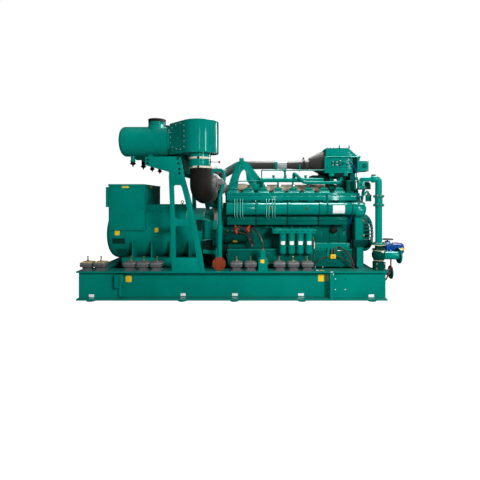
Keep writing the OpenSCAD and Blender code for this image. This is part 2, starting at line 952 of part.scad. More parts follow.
module junction_pedestal() {
    color(teal) placed() translate([pedestal_x, -pedestal_y, deck_z]) {
        round_plate(pedestal_l, pedestal_w, pedestal_h, mount_corner / 2);
        translate([0, 0, pedestal_h])
            round_plate(pedestal_neck_l, pedestal_neck_l, pedestal_neck_h, mount_corner / 2);
    }
}

module blank_flange_pipe() {
    color(rust_red) placed() {
        rod_z(blank_x, -blank_y, blank_z, blank_top, blank_pipe_r);
        translate([blank_x, -blank_y, blank_z]) sphere(blank_pipe_r + seam);
        rod_y(blank_x, -blank_face_y, -blank_y, blank_z, blank_pipe_r);
        rod_y(blank_x, -blank_y, -lug_y, blank_branch_z, blank_pipe_r);
        difference() {
            rod_y(blank_x, -blank_face_y, -blank_face_y + blank_t, blank_z, blank_r);
            for (i = [0 : blank_bolt_count - 1])
                rod_y(blank_x + blank_bolt_r * cos(45 + i * 90), -blank_face_y - over, -blank_face_y + blank_t + over,
                    blank_z + blank_bolt_r * sin(45 + i * 90), blank_bolt_hole_r);
        }
    }
}

// Window with round corners in a stand plate, from its four corners
module stand_window(x, top_z, top_w, foot_z, foot_w) {
    r = window_corner;
    hull() {
        translate([x + r, top_z - r]) circle(r);
        translate([x + top_w - r, top_z - r]) circle(r);
        translate([x + 1, foot_z]) square(1);
        translate([x + foot_w - 1, foot_z]) square(1);
    }
}

module stand_plate() {
    along_y(-edge_y, -edge_y + stand_t) difference() {
        polygon(concat([[stand_base_x, deck_z], [stand_base_end_x, deck_z]], stand_edge, [[stand_right_x, stand_top],
            [arm_x, stand_top], [arm_x, stand_top - arm_h], [stand_left_x, arm_root_z]]));
        stand_window(stand_left_x + window_left_in, window_top_z, window_top_w, window_mid_z, window_mid_w);
        stand_window(stand_left_x + window_low_in, window_low_z, window_low_w, window_foot_z, window_foot_w);
    }
}

module stand_near() {
    color(teal) placed() stand_plate();
}

module stand_far() {
    color(teal) placed() mirror([0, 1, 0]) stand_plate();
}

// Centre planes of the air cleaners
cleaner_y = [for (i = [0 : cleaner_count - 1]) (i - (cleaner_count - 1) / 2) * cleaner_step];

module stand_beams() {
    color(teal) placed() {
        difference() {
            union() {
                block(beam_left_x, beam_left_x + beam_left_l, -edge_y + stand_t, edge_y - stand_t,
                    stand_top - beam_left_h, stand_top);
                for (y = cleaner_y) block(beam_left_x, beam_left_x + beam_left_l, y - cradle_w / 2,
                    y + cradle_w / 2, stand_top, cleaner_z - cleaner_r * cradle_share);
            }
            for (y = cleaner_y) rod_x(arm_x - over, stand_right_x + over, y, cleaner_z, cleaner_r + fit);
        }
        block(beam_right_x, beam_right_x + beam_right_l, -edge_y + stand_t, edge_y - stand_t,
            stand_top - beam_right_h, stand_top);
        for (y = cleaner_y) block(beam_right_x, beam_right_x + beam_right_l, y - cradle_w / 2,
            y + cradle_w / 2, stand_top, plenum_z);
    }
}

module air_cleaners() {
    color(teal) placed() for (y = cleaner_y) difference() {
        union() {
            translate([cleaner_end_x, y, cleaner_z]) rotate([0, -90, 0]) rotate_extrude() {
                square([cleaner_r - dome_r, cleaner_l]);
                square([cleaner_r, cleaner_l - dome_r]);
                intersection() {
                    translate([cleaner_r - dome_r, cleaner_l - dome_r]) circle(dome_r);
                    square([cleaner_r, cleaner_l]);
                }
            }
            rod_z(stub_x, y, cleaner_z, cleaner_z + stub_up, stub_r);
        }
        rod_z(stub_x, y, cleaner_z + stub_up - stub_floor, cleaner_z + stub_up + over, stub_r - stub_wall);
    }
}

module dust_valves() {
    color(rubber) placed() for (y = cleaner_y) difference() {
        union() {
            rod_z(valve_x, y, valve_tip_z + valve_stub_up, cleaner_z, valve_stub_r);
            rod_z(valve_x, y, valve_tip_z + valve_cone_h, valve_tip_z + valve_cone_h + valve_cap_h, valve_cap_r);
            translate([valve_x, y, valve_tip_z]) cylinder(h = valve_cone_h, r1 = valve_tip_r, r2 = valve_cap_r);
        }
        rod_x(arm_x - cleaner_l, cleaner_end_x, y, cleaner_z, cleaner_r + fit);
    }
}

// Plan of the plenum: a round drum, a slanting side wall and the duct behind the cleaners
module plenum_plan() {
    tangent = drum_r * sqrt(0.5);
    translate([drum_x, -drum_out]) circle(drum_r);
    polygon([[drum_x - tangent, -drum_out - tangent], [plenum_left_x, plenum_corner_y],
        [plenum_left_x, plenum_far_y], [plenum_right_x, plenum_far_y], [plenum_right_x, -drum_out + tangent],
        [drum_x + tangent, -drum_out + tangent], [drum_x, -drum_out]]);
}

module air_plenum() {
    color(teal) placed() {
        translate([0, 0, plenum_z]) linear_extrude(plenum_h) plenum_plan();
        for (y = cleaner_y) rod_x(cleaner_end_x, plenum_left_x, y, cleaner_z, spigot_r);
        rod_z(drum_x, -drum_out, elbow_start_z, plenum_z, neck_r);
    }
}

module intake_elbow() {
    color(rubber) placed() translate([drum_x, -drum_out, turbo_z]) rotate([0, 0, 90 - turbo_turn])
        translate([elbow_bend, 0, elbow_bend]) rotate([90, 0, 0]) rotate([0, 0, 180])
            rotate_extrude(angle = 90) translate([elbow_bend, 0]) circle(elbow_r);
}

module gas_pipe() {
    color(teal) placed() {
        rod_z(gas_x, gas_y, gas_foot_z, gas_top_z - gas_bend, gas_r);
        translate([gas_x - gas_bend, gas_y, gas_top_z - gas_bend]) pipe_bend(gas_r, gas_bend);
        rod_x(mixer_end_x, gas_x - gas_bend, gas_y, gas_top_z, gas_r);
        for (z = [flange_a_z, flange_b_z]) rod_z(gas_x, gas_y, z, z + flange_h, flange_r);
        rod_z(gas_x, gas_y, gas_foot_z, gas_foot_z + valve_top_h, gas_flange_r);
        block(mixer_x, mixer_end_x, mixer_y, mixer_in_y, head_rail_top, head_rail_top + mixer_h);
    }
}

module gas_valve() {
    color(dark_teal) placed() difference() {
        union() {
            block(gas_x - block_w / 2, gas_x + block_w / 2, gas_y - block_d / 2, gas_y + block_d / 2 - block_far_in,
                deck_z, deck_z + block_h);
            rod_z(gas_x, gas_y, deck_z + block_h, valve_z, valve_base_r);
            translate([gas_x, gas_y, valve_z]) sphere(valve_r);
            rod_z(gas_x, gas_y, valve_z, gas_foot_z, valve_neck_r);
            rod_z(gas_x, gas_y, valve_top_z, valve_top_z + valve_top_h, valve_top_r);
            rod_z(gas_x, gas_y, gas_foot_z - gasket_h, gas_foot_z, gas_flange_r);
            rod_x(gas_x, outlet_end_x, gas_y, outlet_z, gas_r);
            rod_x(outlet_end_x - outlet_t, outlet_end_x, gas_y, outlet_z, outlet_r);
        }
        rod_x(gas_x + valve_r + outlet_floor, outlet_end_x + over, gas_y, outlet_z, gas_r - outlet_wall);
        for (i = [0 : outlet_count - 1]) rod_x(outlet_end_x - outlet_t - over, outlet_end_x + over,
            gas_y + outlet_bolt_r * cos(22.5 + i * 360 / outlet_count),
            outlet_z + outlet_bolt_r * sin(22.5 + i * 360 / outlet_count), outlet_hole_r);
    }
}

module actuator() {
    color(blue) placed() difference() {
        union() {
            block(actuator_x, actuator_x + actuator_l, actuator_y, actuator_y + actuator_w,
                actuator_z, actuator_z + actuator_h);
            block(gas_x - lever_back, actuator_x + over, lever_y, lever_y + lever_w, actuator_z, actuator_z + lever_h);
            rod_x(actuator_x + actuator_l, right_x, stem_y, motor_z, motor_r);
        }
        translate([gas_x, gas_y, valve_z]) sphere(valve_r + fit);
        rod_z(stem_x, stem_y, actuator_z + actuator_h - stem_sink - fit, actuator_z + actuator_h + over,
            stem_r + stem_fit);
    }
}

module handwheel() {
    color(rubber) placed() translate([stem_x, stem_y, wheel_z]) {
        rotate_extrude() translate([wheel_r, 0]) circle(rim_r);
        translate([0, 0, -wheel_hub_h / 2]) cylinder(h = wheel_hub_h, r = wheel_hub_r);
        for (i = [0 : spoke_count - 1]) rotate([0, 0, i * 360 / spoke_count]) rod_x(0, wheel_r, 0, 0, spoke_r);
        rod_z(0, 0, actuator_z + actuator_h - stem_sink - wheel_z, 0, stem_r);
    }
}

module drain_pipe() {
    color(dark_teal) placed() {
        rod_x(cross_out_x - cross_w / 2 + web_t / 2, drain_end_x, drain_y, drain_z, drain_r);
        rod_x(drain_end_x - drain_flange_t, drain_end_x, drain_y, drain_z, drain_flange_r);
    }
}

rail_near();
rail_far();
cross_members();
floor_pads();
spare_mounts();
spare_mount_studs();
alternator_frame();
alternator_end_bell();
alternator_feet();
terminal_box();
alternator_top_cover();
coupling_housing();
flywheel_housing();
engine_base();
engine_block();
engine_feet();
cylinder_heads();
rocker_covers();
bank_rails();
intake_manifolds();
exhaust_manifold();
front_cover();
damper_guard();
turbocharger();
charge_pipe();
cooler_inlet();
charge_cooler();
throttle_box();
lifting_bracket();
water_rail();
oil_filters();
filter_header();
starter_motor();
coolant_pipes();
vent_pipe();
black_hoses();
red_hose();
blue_harness();
junction_pedestal();
blank_flange_pipe();
stand_near();
stand_far();
stand_beams();
air_cleaners();
dust_valves();
air_plenum();
intake_elbow();
gas_pipe();
gas_valve();
actuator();
handwheel();
drain_pipe();
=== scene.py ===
"""Gas engine generator set on a skid, in front of a white background.

All sizes are in millimetres in the machine frame: X along the crankshaft from the middle of the skid,
Y across it with the gas train at low Y, and Z up from the floor. piece() moves them into the part's frame.
A surface is a tuple of points, the corner indices of all its faces one after another, and the faces' sizes.
"""
from math import pi, radians

import bpy
import numpy as np
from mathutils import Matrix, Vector


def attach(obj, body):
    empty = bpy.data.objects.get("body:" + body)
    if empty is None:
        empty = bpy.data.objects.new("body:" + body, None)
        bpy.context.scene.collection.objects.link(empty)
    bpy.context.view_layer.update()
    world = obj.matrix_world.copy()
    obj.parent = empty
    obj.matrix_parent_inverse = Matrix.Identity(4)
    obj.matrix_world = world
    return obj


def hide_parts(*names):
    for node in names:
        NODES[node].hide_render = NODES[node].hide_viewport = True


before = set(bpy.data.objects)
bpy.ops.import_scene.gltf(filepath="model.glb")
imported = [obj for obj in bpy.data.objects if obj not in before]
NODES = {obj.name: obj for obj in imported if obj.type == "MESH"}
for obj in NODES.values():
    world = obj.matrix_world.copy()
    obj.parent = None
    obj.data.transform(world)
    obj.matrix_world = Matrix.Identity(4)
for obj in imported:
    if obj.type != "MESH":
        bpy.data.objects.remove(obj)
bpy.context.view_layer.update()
MIDDLE = np.array((189.5, -157.5, 0.0))
# Directions: ahead is towards the gas inlet, near is the side with the gas train
AHEAD, BACK, NEAR, FAR, UP, DOWN = (1, 0, 0), (-1, 0, 0), (0, -1, 0), (0, 1, 0), (0, 0, 1), (0, 0, -1)
ORIGIN = (0, 0, 0)


def unit(v):
    """The vector or vectors v divided by their length."""
    v = np.asarray(v, float)
    return v / np.linalg.norm(v, axis=-1, keepdims=True)


def basis(axis):
    """Rows u, v, w of a right-handed set of unit vectors with w along the axis."""
    w = unit(axis)
    u = unit(np.cross((0.0, 0.0, 1.0) if abs(w[2]) < 0.9 else (0.0, 1.0, 0.0), w))
    return np.stack((u, np.cross(w, u), w))


def circle(n, turn=0.0):
    """n points of the unit circle as (cos t, sin t)."""
    t = 2 * pi * np.arange(n) / n + turn
    return np.stack((np.cos(t), np.sin(t)), 1)


def skin(rings, closed=False):
    """Quads between neighbouring rings (rings by points by 3), and a flat face on each end of an open run."""
    rings = np.asarray(rings, float)
    k, n = rings.shape[:2]
    i = np.arange(k if closed else k - 1)[:, None]
    j = np.arange(n)[None, :]
    ahead, beside = (i + 1) % k * n, (j + 1) % n
    corners = np.broadcast_arrays(i * n + j, i * n + beside, ahead + beside, ahead + j)
    quads = np.stack(corners, -1).reshape(-1, 4)
    loops, sizes = [quads.ravel()], [np.full(len(quads), 4)]
    if not closed:
        loops += [np.arange(n)[::-1], np.arange(n) + (k - 1) * n]
        sizes.append([n, n])
    return rings.reshape(-1, 3), np.concatenate(loops), np.concatenate(sizes)


def join(*surfaces):
    """Several surfaces as one."""
    starts = np.cumsum([0] + [len(s[0]) for s in surfaces[:-1]])
    return (
        np.concatenate([s[0] for s in surfaces]),
        np.concatenate([s[1] + a for s, a in zip(surfaces, starts)]),
        np.concatenate([s[2] for s in surfaces]),
    )


def repeat(surface, offsets):
    """Copies of a surface moved by each offset: every point plus every offset."""
    points, loops, sizes = surface
    offsets = np.asarray(offsets, float).reshape(-1, 3)
    k = len(offsets)
    return (
        (points[None] + offsets[:, None]).reshape(-1, 3),
        (loops[None] + (np.arange(k) * len(points))[:, None]).ravel(),
        np.tile(sizes, k),
    )


def mirror(surface):
    """The surface on the other side of the XZ plane, with its faces turned back outward."""
    points, loops, sizes = surface
    ends = np.cumsum(sizes)
    face = np.repeat(np.arange(len(sizes)), sizes)
    place = np.arange(len(loops))
    return points * (1, -1, 1), loops[(ends - sizes)[face] + ends[face] - 1 - place], sizes


def both(*surfaces):
    """The surfaces and their mirror image across the XZ plane."""
    near = join(*surfaces)
    return join(near, mirror(near))


def lathe(centre, axis, profile, n=40, closed=False):
    """Profile points (along, radius) turned about an axis: centre + along w + radius (cos t u + sin t v)."""
    u, v, w = basis(axis)
    along, radius = np.array(profile, float).T
    ring = circle(n) @ np.stack((u, v))
    return skin(np.asarray(centre, float) + along[:, None, None] * w + radius[:, None, None] * ring, closed)


def hollow(centre, axis, profile, n=40):
    """A closed profile of (along, radius) turned about an axis, such as a ring or an open pipe end."""
    return lathe(centre, axis, profile, n, closed=True)


def band(centre, axis, inner, outer, width, n=40):
    """A flat ring between two radii."""
    return hollow(centre, axis, [(0, inner), (0, outer), (width, outer), (width, inner)], n)


def rod(centre, axis, radius, length, n=40):
    """A plain round rod or disc."""
    return lathe(centre, axis, [(0, radius), (length, radius)], n)


def boss(centre, axis, radius, length, end_radius, end, n=40):
    """A round boss with a second step on it, whose end lies the given way from the foot."""
    steps = [(0, radius), (length, radius), (length + 2, end_radius), (end, end_radius)]
    return lathe(centre, axis, steps, n)


def inset(outline, by):
    """The outline with each corner moved inward along its mitre by the given distance."""
    step = unit(np.roll(outline, -1, 0) - outline)
    normal = np.stack((-step[:, 1], step[:, 0]), 1)
    before = np.roll(normal, 1, 0)
    reach = 1 + (normal * before).sum(1, keepdims=True)
    return outline + by * (normal + before) / np.maximum(reach, 0.35)


def slab(outline, lo, hi, axis="z", edge=4.0, steps=2):
    """An outline carried from lo to hi along an axis, drawn in by a quarter circle at both ends."""
    outline = np.asarray(outline, float)
    x, y = outline.T
    if (x * np.roll(y, -1) - np.roll(x, -1) * y).sum() < 0:
        outline = outline[::-1]
    t = np.linspace(0, pi / 2, steps + 1) if edge else np.zeros(1)
    rise, drawn = edge * (1 - np.cos(t)), edge * (1 - np.sin(t))
    along = np.concatenate((lo + rise, (hi - rise)[::-1]))
    shapes = np.stack([inset(outline, d) for d in (*drawn, *drawn[::-1])])
    rings = np.empty((len(along), len(outline), 3))
    a, b, c = {"x": (1, 2, 0), "y": (0, 2, 1), "z": (0, 1, 2)}[axis]
    rings[..., a], rings[..., b], rings[..., c] = shapes[..., 0], shapes[..., 1], along[:, None]
    return skin(rings[:, ::-1] if axis == "y" else rings)


def rect(u0, v0, u1, v1, r=0.0, n=5):
    """A rectangle's outline with round corners of radius r."""
    if not r:
        return np.array(((u0, v0), (u1, v0), (u1, v1), (u0, v1)), float)
    t = np.linspace(0, pi / 2, n)
    arc = r * np.stack((np.cos(t), np.sin(t)), 1)
    turned = [arc[:, ::-1] * (-1, 1), arc]
    corners = (
        (u1 - r, v0 + r) + arc[:, ::-1] * (1, -1),
        (u1 - r, v1 - r) + arc,
        (u0 + r, v1 - r) + turned[0],
        (u0 + r, v0 + r) - arc,
    )
    return np.concatenate(corners)


def block(x0, y0, z0, x1, y1, z1, edge=4.0, r=0.0, axis="z"):
    """A box with softened edges, its corners round about the given axis."""
    if axis == "x":
        return slab(rect(y0, z0, y1, z1, r), x0, x1, "x", edge)
    if axis == "y":
        return slab(rect(x0, z0, x1, z1, r), y0, y1, "y", edge)
    return slab(rect(x0, y0, x1, y1, r), z0, z1, "z", edge)


def bend(points, radius, n=7):
    """A run of straight lines whose corners are arcs of the given radius, as points."""
    points = np.asarray(points, float)
    out = [points[:1]]
    for before, here, after in zip(points, points[1:], points[2:]):
        a, b = unit(before - here), unit(after - here)
        half = np.arccos(np.clip(a @ b, -1, 1)) / 2
        if half > 1.5:
            continue
        longest = 0.49 * min(np.linalg.norm(before - here), np.linalg.norm(after - here))
        reach = min(radius / np.tan(half), longest)
        r = reach * np.tan(half)
        centre = here + unit(a + b) * r / np.sin(half)
        p, q = here + a * reach - centre, here + b * reach - centre
        sweep = pi - 2 * half
        t = np.linspace(0, 1, n)[:, None] * sweep
        out.append(centre + (np.sin(sweep - t) * p + np.sin(t) * q) / np.sin(sweep))
    out.append(points[-1:])
    return np.concatenate(out)


def pipe(points, radius, corner=60.0, n=16, bends=7):
    """A circle carried along a bent path, in a plane across it: path + radius (cos t u + sin t v)."""
    path = bend(points, corner, bends)
    along = unit(np.gradient(path, axis=0))
    u = unit(np.cross(np.array((0.36, -0.48, 0.8)), along))
    v = np.cross(along, u)
    c = circle(n)
    return skin(path[:, None] + radius * (c[None, :, :1] * u[:, None] + c[None, :, 1:] * v[:, None]))


def loft(outlines, heights):
    """Outlines (x, y) of equal counts stacked at the given heights z."""
    return skin(np.stack([np.column_stack((o, np.full(len(o), h))) for o, h in zip(outlines, heights)]))


def bolt(axis, r=12.0, h=11.0, washer=True):
    """A hexagon head on a round washer, standing on the origin along the axis."""
    u, v, w = basis(axis)
    hexagon = circle(6) @ np.stack((u, v))
    heights = np.array((0.0, h * 0.8, h))[:, None, None] * w
    head = skin(heights + np.array((r, r, r * 0.84))[:, None, None] * hexagon)
    if not washer:
        return head
    return join(lathe((0, 0, 0), axis, ((0, r * 1.35), (2.5, r * 1.35), (3, r * 1.25)), 14), head)


def bolts(axis, places, r=12.0, h=11.0, washer=True):
    """Bolt heads at all the places."""
    return repeat(bolt(axis, r, h, washer), places)


def ring_places(centre, axis, radius, count, turn=0.0):
    """Equal places round a circle across the axis."""
    u, v, _ = basis(axis)
    return np.asarray(centre, float) + radius * circle(count, turn) @ np.stack((u, v))


def row(start, stop, count):
    """Equal places along a straight line, both ends counted."""
    return np.linspace(start, stop, count)


def grid(xs, ys, zs):
    """Every place with x, y and z out of the three lists or numbers."""
    return np.stack(np.meshgrid(xs, ys, zs, indexing="ij"), -1).reshape(-1, 3)


def piece(name, material, *surfaces, sharp=32.0, replaces=(), slot="teal_paint"):
    """Surfaces in machine millimetres as one object that rides on the set, smooth up to the sharp angle."""
    points, loops, sizes = join(*surfaces)
    mesh = bpy.data.meshes.new(name)
    mesh.vertices.add(len(points))
    mesh.vertices.foreach_set("co", ((points - MIDDLE) / 1000).ravel())
    mesh.loops.add(len(loops))
    mesh.loops.foreach_set("vertex_index", loops)
    mesh.polygons.add(len(sizes))
    mesh.polygons.foreach_set("loop_start", np.cumsum(sizes) - sizes)
    mesh.update(calc_edges=True)
    mesh.validate()
    mesh.polygons.foreach_set("use_smooth", np.ones(len(sizes), bool))
    mesh.set_sharp_from_angle(angle=radians(sharp))
    mesh.materials.append(material)
    obj = bpy.data.objects.new(name, mesh)
    bpy.context.scene.collection.objects.link(obj)
    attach(obj, "set")
    if replaces:
        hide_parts(*replaces)


def new_group(name, inputs, outputs):
    """An empty shader node group with its sockets, as (group, input node, output node)."""
    group = bpy.data.node_groups.new(name, "ShaderNodeTree")
    for label, kind, value in inputs:
        group.interface.new_socket(label, in_out="INPUT", socket_type=kind).default_value = value
    for label, kind in outputs:
        group.interface.new_socket(label, in_out="OUTPUT", socket_type=kind)
    return group, group.nodes.new("NodeGroupInput"), group.nodes.new("NodeGroupOutput")


def add(tree, kind, links=(), **values):
    """A node of the kind with attributes or inputs set, and links as (input, socket) pairs."""
    node = tree.nodes.new("ShaderNode" + kind)
    for key, value in values.items():
        if hasattr(node, key):
            setattr(node, key, value)
        else:
            node.inputs[key.replace("_", " ")].default_value = value
    for name, socket in links:
        tree.links.new(socket, node.inputs[name])
    return node


def noise(tree, scale, detail=3.0, rough=0.5):
    """Noise over the object's own coordinates, per metre."""
    place = add(tree, "TexCoord").outputs["Object"]
    node = add(tree, "TexNoise", (("Vector", place),), Scale=scale, Detail=detail, Roughness=rough)
    return node.outputs["Fac"]


def spread(tree, value, low, high, to_low, to_high):
    """The value mapped from one range to another and held inside it."""
    node = add(tree, "MapRange", ((0, value),))
    for i, x in enumerate((low, high, to_low, to_high)):
        node.inputs[i + 1].default_value = x
    return node.outputs[0]


def maths(tree, operation, a, b):
    """One sum of two values, each a socket or a number."""
    node = tree.nodes.new("ShaderNodeMath")
    node.operation = operation
    for i, x in enumerate((a, b)):
        if isinstance(x, (int, float)):
            node.inputs[i].default_value = x
        else:
            tree.links.new(x, node.inputs[i])
    return node.outputs[0]


def mixed(tree, factor, a, b):
    """Colour a turned into colour b by the factor, each a socket or a tuple."""
    node = tree.nodes.new("ShaderNodeMix")
    node.data_type = "RGBA"
    for i, x in ((0, factor), (6, a), (7, b)):
        if isinstance(x, (tuple, list)):
            node.inputs[i].default_value = x
        else:
            tree.links.new(x, node.inputs[i])
    return node.outputs[2]


SKIN_OUTPUTS = (("Color", "NodeSocketColor"), ("Roughness", "NodeSocketFloat"),
    ("Normal", "NodeSocketVector"))


def dust_group():
    """Mask of settled dust: faces that look up, broken up by noise."""
    group, _, out = new_group("settled dust", (), (("Mask", "NodeSocketFloat"),))
    normal = add(group, "NewGeometry").outputs["Normal"]
    up = add(group, "SeparateXYZ", ((0, normal),)).outputs["Z"]
    facing = spread(group, up, 0.55, 1.0, 0.0, 1.0)
    patches = spread(group, noise(group, 9.0, 6.0, 0.65), 0.35, 0.75, 0.15, 1.0)
    group.links.new(maths(group, "MULTIPLY", facing, patches), out.inputs[0])
    return group


def dusted(group, ins, dust, tone, colour):
    """The input colour times the tone, under dust of the given colour, and the dust's cover."""
    deep = add(group, "HueSaturation", (("Color", ins.outputs["Color"]), ("Value", tone)))
    settled = add(group, "Group", node_tree=dust)
    cover = maths(group, "MULTIPLY", settled.outputs[0], ins.outputs["Dust"])
    return mixed(group, cover, deep.outputs[0], colour), cover


def paint_group(dust):
    """Sprayed enamel: soft drifts of tone, thin dust on top faces, orange peel and a few runs of gloss."""
    group, ins, out = new_group(
        "sprayed enamel",
        (("Color", "NodeSocketColor", (0, 0.2, 0.16, 1)), ("Dust", "NodeSocketFloat", 0.3),
         ("Gloss", "NodeSocketFloat", 0.25), ("Peel", "NodeSocketFloat", 0.12)),
        SKIN_OUTPUTS,
    )
    drift = spread(group, noise(group, 1.7, 4.0, 0.55), 0.3, 0.7, 0.84, 1.1)
    fine = spread(group, noise(group, 34.0, 5.0, 0.6), 0.3, 0.7, 0.95, 1.04)
    colour, cover = dusted(group, ins, dust, maths(group, "MULTIPLY", drift, fine), (0.36, 0.37, 0.33, 1))
    group.links.new(colour, out.inputs["Color"])
    wear = spread(group, noise(group, 6.0, 5.0, 0.6), 0.35, 0.7, -0.04, 0.09)
    rough = maths(group, "ADD", ins.outputs["Gloss"], wear)
    rough = maths(group, "ADD", rough, maths(group, "MULTIPLY", cover, 0.4))
    group.links.new(rough, out.inputs["Roughness"])
    grain = noise(group, 190.0, 2.0, 0.5)
    waves = noise(group, 22.0, 2.0, 0.5)
    height = maths(group, "ADD", grain, maths(group, "MULTIPLY", waves, 3.0))
    bump = add(group, "Bump", (("Height", height), ("Strength", ins.outputs["Peel"])), Distance=0.002)
    group.links.new(bump.outputs[0], out.inputs["Normal"])
    return group


def cast_group(dust):
    """Rough cast or moulded skin: speckled tone, dust, and a pebbled surface."""
    group, ins, out = new_group(
        "cast skin",
        (("Color", "NodeSocketColor", (0.1, 0.1, 0.1, 1)), ("Dust", "NodeSocketFloat", 0.4),
         ("Roughness", "NodeSocketFloat", 0.5), ("Grain", "NodeSocketFloat", 120.0)),
        SKIN_OUTPUTS,
    )
    tone = spread(group, noise(group, 14.0, 6.0, 0.65), 0.3, 0.72, 0.72, 1.22)
    group.links.new(dusted(group, ins, dust, tone, (0.42, 0.40, 0.34, 1))[0], out.inputs["Color"])
    wear = spread(group, noise(group, 40.0, 4.0, 0.6), 0.3, 0.7, -0.08, 0.1)
    group.links.new(maths(group, "ADD", ins.outputs["Roughness"], wear), out.inputs["Roughness"])
    place = add(group, "TexCoord").outputs["Object"]
    cells = add(group, "TexNoise", (("Vector", place), ("Scale", ins.outputs["Grain"])), Detail=3.0)
    bump = add(group, "Bump", (("Height", cells.outputs["Fac"]),), Strength=0.35, Distance=0.003)
    group.links.new(bump.outputs[0], out.inputs["Normal"])
    return group


DUST = dust_group()
PAINT = paint_group(DUST)
CAST = cast_group(DUST)


def material(name, group, color, metallic=0.0, coat=0.0, tint=(1.0, 1.0, 1.0), **values):
    """A Principled material whose colour, roughness and normal come from a group."""
    made = bpy.data.materials.new(name)
    made.use_nodes = True
    tree = made.node_tree
    shader = tree.nodes["Principled BSDF"]
    skin_node = add(tree, "Group", node_tree=group)
    skin_node.inputs["Color"].default_value = (*color, 1)
    for key, value in values.items():
        skin_node.inputs[key].default_value = value
    for source, target in (("Color", "Base Color"), ("Roughness", "Roughness"), ("Normal", "Normal")):
        tree.links.new(skin_node.outputs[source], shader.inputs[target])
    for key, value in (("Metallic", metallic), ("Coat Weight", coat), ("Coat Roughness", 0.08),
            ("Specular IOR Level", 0.35), ("Specular Tint", (*tint, 1.0))):
        shader.inputs[key].default_value = value
    return made


def paint(name, color, gloss, peel, dust, coat=0.0, tint=(1.0, 1.0, 1.0)):
    """An enamel of the given roughness, orange peel, dust and clear coat."""
    return material(name, PAINT, color, coat=coat, tint=tint, Gloss=gloss, Peel=peel, Dust=dust)


def cast(name, color, roughness, grain, dust=0.0, metallic=0.0):
    """A rough skin with the given grain per metre and dust."""
    return material(name, CAST, color, metallic, Roughness=roughness, Grain=grain, Dust=dust)


green_sheen = (0.1, 1.0, 0.9)
teal = paint("teal enamel", (0.0, 0.2, 0.158), 0.3, 0.1, 0.08, 0.2, green_sheen)
# The teal at half brightness: painted shade for parts that sit in shadow
shade = paint("teal darkened for painted shade", (0.0, 0.105, 0.08), 0.38, 0.3, 0.07, 0.1, green_sheen)
deep = paint("teal in deep shade", (0.0, 0.045, 0.035), 0.4, 0.3, 0.07, 0.1, green_sheen)
bright = paint("teal enamel on pipes", (0.0, 0.205, 0.165), 0.22, 0.06, 0.07, 0.35, green_sheen)
gloss = paint("freshly sprayed teal", (0.0, 0.2, 0.16), 0.22, 0.06, 0.07, 0.8, green_sheen)
# Pale teal for the thin sense lines, and as painted highlights along the housing cover and front ledge edges
pale = paint("pale teal lines and painted edge highlights", (0.1, 0.46, 0.39), 0.25, 0.06, 0.1, 0.4)
hose = paint("black charge pipe", (0.038, 0.036, 0.034), 0.42, 0.2, 0.25, 0.2)
blue = paint("blue enamel", (0.0, 0.055, 0.25), 0.3, 0.15, 0.08, 0.1)
yellow = paint("yellow plate", (0.86, 0.56, 0.02), 0.4, 0.05, 0.05)
white = paint("white plate", (0.86, 0.87, 0.87), 0.45, 0.05, 0.05)
red = paint("red boot", (0.62, 0.045, 0.02), 0.45, 0.2, 0.05)
dark_red = paint("dark red hose", (0.16, 0.012, 0.012), 0.4, 0.2, 0.05)
grey = cast("grey casting", (0.085, 0.092, 0.1), 0.5, 90.0, 0.35)
# A lighter grey, used as a painted highlight on the lips of the mount bodies
highlight_grey = cast("light grey painted highlight", (0.2, 0.21, 0.22), 0.42, 60.0, 0.3)
tan = cast("tan cap plate", (0.52, 0.40, 0.16), 0.5, 60.0, 0.1)
zinc = cast("yellow zinc", (0.62, 0.5, 0.28), 0.35, 200.0, metallic=0.85)
steel = cast("bright steel", (0.62, 0.62, 0.6), 0.3, 200.0, metallic=0.9)
brass = cast("brass", (0.65, 0.42, 0.12), 0.32, 200.0, metallic=0.9)
silver = cast("silver band", (0.72, 0.72, 0.71), 0.34, 60.0, metallic=0.55)
turbo_grey = cast("turbo casting", (0.27, 0.275, 0.27), 0.5, 150.0, 0.1, 0.35)
lagging = cast("beige heat wrap", (0.46, 0.40, 0.29), 0.85, 70.0, 0.1)
cream = cast("cream clamp", (0.66, 0.62, 0.5), 0.4, 80.0)
rubber = cast("black rubber", (0.011, 0.0095, 0.008), 0.62, 110.0, 0.03)
plastic = cast("black plastic", (0.012, 0.012, 0.013), 0.36, 160.0, 0.05)
# A near-black teal: painted shade in gaps, holes, louvres and joints where shade falls
painted_recess_shade = cast("dark recess", (0.004, 0.02, 0.017), 0.8, 60.0)
oxide = cast("red oxide primer", (0.23, 0.037, 0.014), 0.6, 110.0, 0.05)
gasket = cast("beige gasket", (0.5, 0.44, 0.26), 0.7, 120.0)

# Finishes of the CAD nodes that stay and aren't teal; shade and deep are the teal darkened as painted shade
FINISH = {
    "cooler_inlet": hose, "turbocharger": turbo_grey, "handwheel": plastic, "engine_block": shade,
    "gas_valve": deep, "drain_pipe": shade, "engine_base": shade,
}
for node_name, node in NODES.items():
    node.data.materials.clear()
    node.data.materials.append(FINISH.get(node_name, teal))
    soft_edge = node.modifiers.new("soft edges", "BEVEL")
    soft_edge.width = 0.003
    soft_edge.segments = 2
    soft_edge.limit_method = "ANGLE"
    soft_edge.angle_limit = radians(40)
    soft_edge.use_clamp_overlap = True
    soft_edge.harden_normals = True


def torus(centre, axis, radius, tube, n=32, m=10):
    """A ring of round section: centre + (radius + tube cos b) (cos a u + sin a v) - tube sin b w."""
    u, v, w = basis(axis)
    out, b = circle(n) @ np.stack((u, v)), circle(m)
    reach = (radius + tube * b[:, 0])[None, :, None] * out[:, None]
    return skin(np.asarray(centre, float) + reach - tube * b[None, :, 1:] * w, True)


